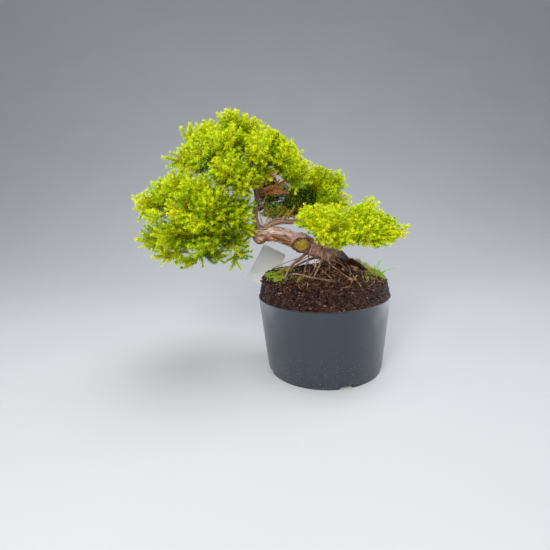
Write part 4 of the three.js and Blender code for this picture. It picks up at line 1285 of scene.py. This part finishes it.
# Dead twigs
# Two shaded sprays inside the crown have died. Their needles are dry, orange-brown, thin and half
# shed, and stand out from the twigs like the teeth of a comb.
DEAD_TWIGS = [  # where each twig leaves the wood and where it ends
    ((-82.6, -1.6, 229), (-48, -17, 233)), ((-85.5, 0.6, 243), (-58, -15, 252)),
]
DEAD_LEAN = 74
bare_shoots = {
    whorls: [
        shoot_template(whorls, random.Random(70 * whorls + i), lean=DEAD_LEAN, width=0.5, bud=3)
        for i in range(2)
    ]
    for whorls in SHOOT_WHORLS
}
# Dead needles have lost their wax. They are dull orange-brown at the foot and bleached at the point.
dry_leaf = new_material("dead_juniper_needle", Roughness=0.75, Specular_IOR_Level=0.08)
tint, needle = (add(dry_leaf, "Attribute", out="Fac", attribute_name=name) for name in ("tint", "needle"))
mixed = add(dry_leaf, "Math", {0: tint, 1: needle}, operation="ADD")
half = add(dry_leaf, "Math", {0: mixed, 1: 0.5}, operation="MULTIPLY")
dead_tones = [(0.0, "#965e2e"), (0.4, "#c88a48"), (0.8, "#dcaa68"), (1.0, "#e8ca96")]
add(dry_leaf, "ValToRGB", {0: half}, dead_tones, to="Base Color")
for i, twig in enumerate(DEAD_TWIGS):
    bm = spray_mesh(*metres(twig), random.Random(900 + i), bare_shoots, plumes=1, thin=0.45, room=0.85)
    piece(f"dead_foliage_{i + 1}", bm, dry_leaf, "dead_needles", f"dead_spray_{i + 1}")

# Withered shoots
# Short shoots on the bare wood above the fork have turned straw yellow and lost most needles.
WITHERED = [  # where each shoot stands and where it ends
    ((-77, -2, 195), (-82, -10, 210)), ((-72, -2, 198), (-63, -10, 209)), ((-63, -2, 198), (-49, -10, 207)),
    ((-53, -2, 198), (-41, -10, 208)), ((-77, -2, 205), (-68, -10, 218)), ((-77, -2, 216), (-68, -10, 229)),
    ((-67, -2, 201), (-72, -10, 213)), ((-47, -2, 200), (-34, -10, 212)), ((-58, -2, 202), (-55, -10, 215)),
    ((-75, -2, 189), (-65, -10, 198)), ((-39, -2, 199), (-28, -10, 206)),
]
rng = random.Random(31)
bm, (_, _, tint_layer) = leafy("needle", "shoot", "tint")
for foot, tip in map(metres, WITHERED):
    way = (tip - foot).normalized()
    length = (tip - foot).length
    whorls = nearest_whorls(length)
    shape = set_up(way, Vector((0, 0, 1))) @ Matrix.Diagonal((0.8, 0.8, length / (whorls * WHORL_STEP), 1))
    shoot_mesh = rng.choice(bare_shoots[whorls])
    stamp(bm, shoot_mesh, Matrix.Translation(foot) @ shape, {tint_layer: rng.uniform(0.2, 1)})
# Withered needles keep some wax, and each shoot has its own tone between straw and dull green.
straw = new_material("withered_juniper_needle", Roughness=0.7, Specular_IOR_Level=0.2)
tint = add(straw, "Attribute", out="Fac", attribute_name="tint")
straw_tones = [(0.2, "#a8743a"), (0.5, "#c0a03c"), (0.8, "#a9b038"), (1.0, "#8fa02c")]
add(straw, "ValToRGB", {0: tint}, straw_tones, to="Base Color")
piece("withered_shoots", bm, straw, "dead_needles")

# Floor and light
# A plain pale sweep, lit by a large soft light in front and one above. A soft panel stands at each
# side and only shines in glossy things, where it draws the bright upright edges on the pot.
SWEEP_HALF = 14.0
SWEEP_FRONT = -3.0
SWEEP_BACK = 0.5
SWEEP_BEND = 2.2
SWEEP_TOP = 4.5
BEND_STEPS = 32
LIGHTS = [  # name, place, size in metres, watts and colour
    ("key", (-0.45, -1.40, 1.00), (0.9, 0.7), 26, "#fffaf2"),
    ("overhead", (0.1, 0.0, 1.6), (1.2, 0.9), 15, "#ffffff"),
    ("left_panel", (-0.50, 0.16, 0.28), (0.4, 0.5), 11, "#f2f6ff"),
    ("right_panel", (0.48, 0.12, 0.28), (0.4, 0.5), 17, "#f2f6ff"),
]
LIGHTS_FACE = Vector((-0.05, 0, 0.15))
line = [(SWEEP_FRONT, 0)]
for i in range(BEND_STEPS + 1):
    turn = math.pi / 2 * i / BEND_STEPS
    line.append((SWEEP_BACK + SWEEP_BEND * math.sin(turn), SWEEP_BEND * (1 - math.cos(turn))))
line.append((SWEEP_BACK + SWEEP_BEND, SWEEP_TOP))
bm = bmesh.new()
ends = [[bm.verts.new((x, y, z)) for y, z in line] for x in (-SWEEP_HALF, SWEEP_HALF)]
for a, b, c, d in zip(ends[0], ends[1], ends[1][1:], ends[0][1:]):
    bm.faces.new((a, b, c, d))
sweep_mesh = meshed(bm, "pale_sweep")
sweep_mesh.shade_smooth()
# Uncoated backdrop paper is matt and a very slightly cloudy pale grey.
pale = new_material("pale_paper_sweep", Roughness=0.9, Specular_IOR_Level=0)
faint = add(pale, "TexNoise", {"Vector": add(pale, "TexCoord", out="Object"), "Scale": 3})
add(pale, "ValToRGB", {0: faint}, [(0.3, "#cacdd2"), (0.7, "#cdd0d5")], to="Base Color")
sweep_mesh.materials.append(pale)
sweep = placed("pale_sweep", sweep_mesh)
for name, at, size, watts, code in LIGHTS:
    lamp = bpy.data.lights.new(name, "AREA")
    lamp.shape = "RECTANGLE"
    lamp.size, lamp.size_y = size
    lamp.energy = watts
    lamp.spread = math.radians(120 if "panel" in name else 180)
    lamp.color = linear(code)[:3]
    made = placed(name, lamp)
    made.visible_camera = False
    made.visible_diffuse = "panel" not in name
    made.location = at
    made.rotation_euler = (LIGHTS_FACE - Vector(at)).to_track_quat("-Z", "Y").to_euler()
world = bpy.data.worlds.new("studio")
scene.world = world
world.use_nodes = True
world.node_tree.nodes["Background"].inputs["Color"].default_value = linear("#e6ebf2")
world.node_tree.nodes["Background"].inputs["Strength"].default_value = 0.34
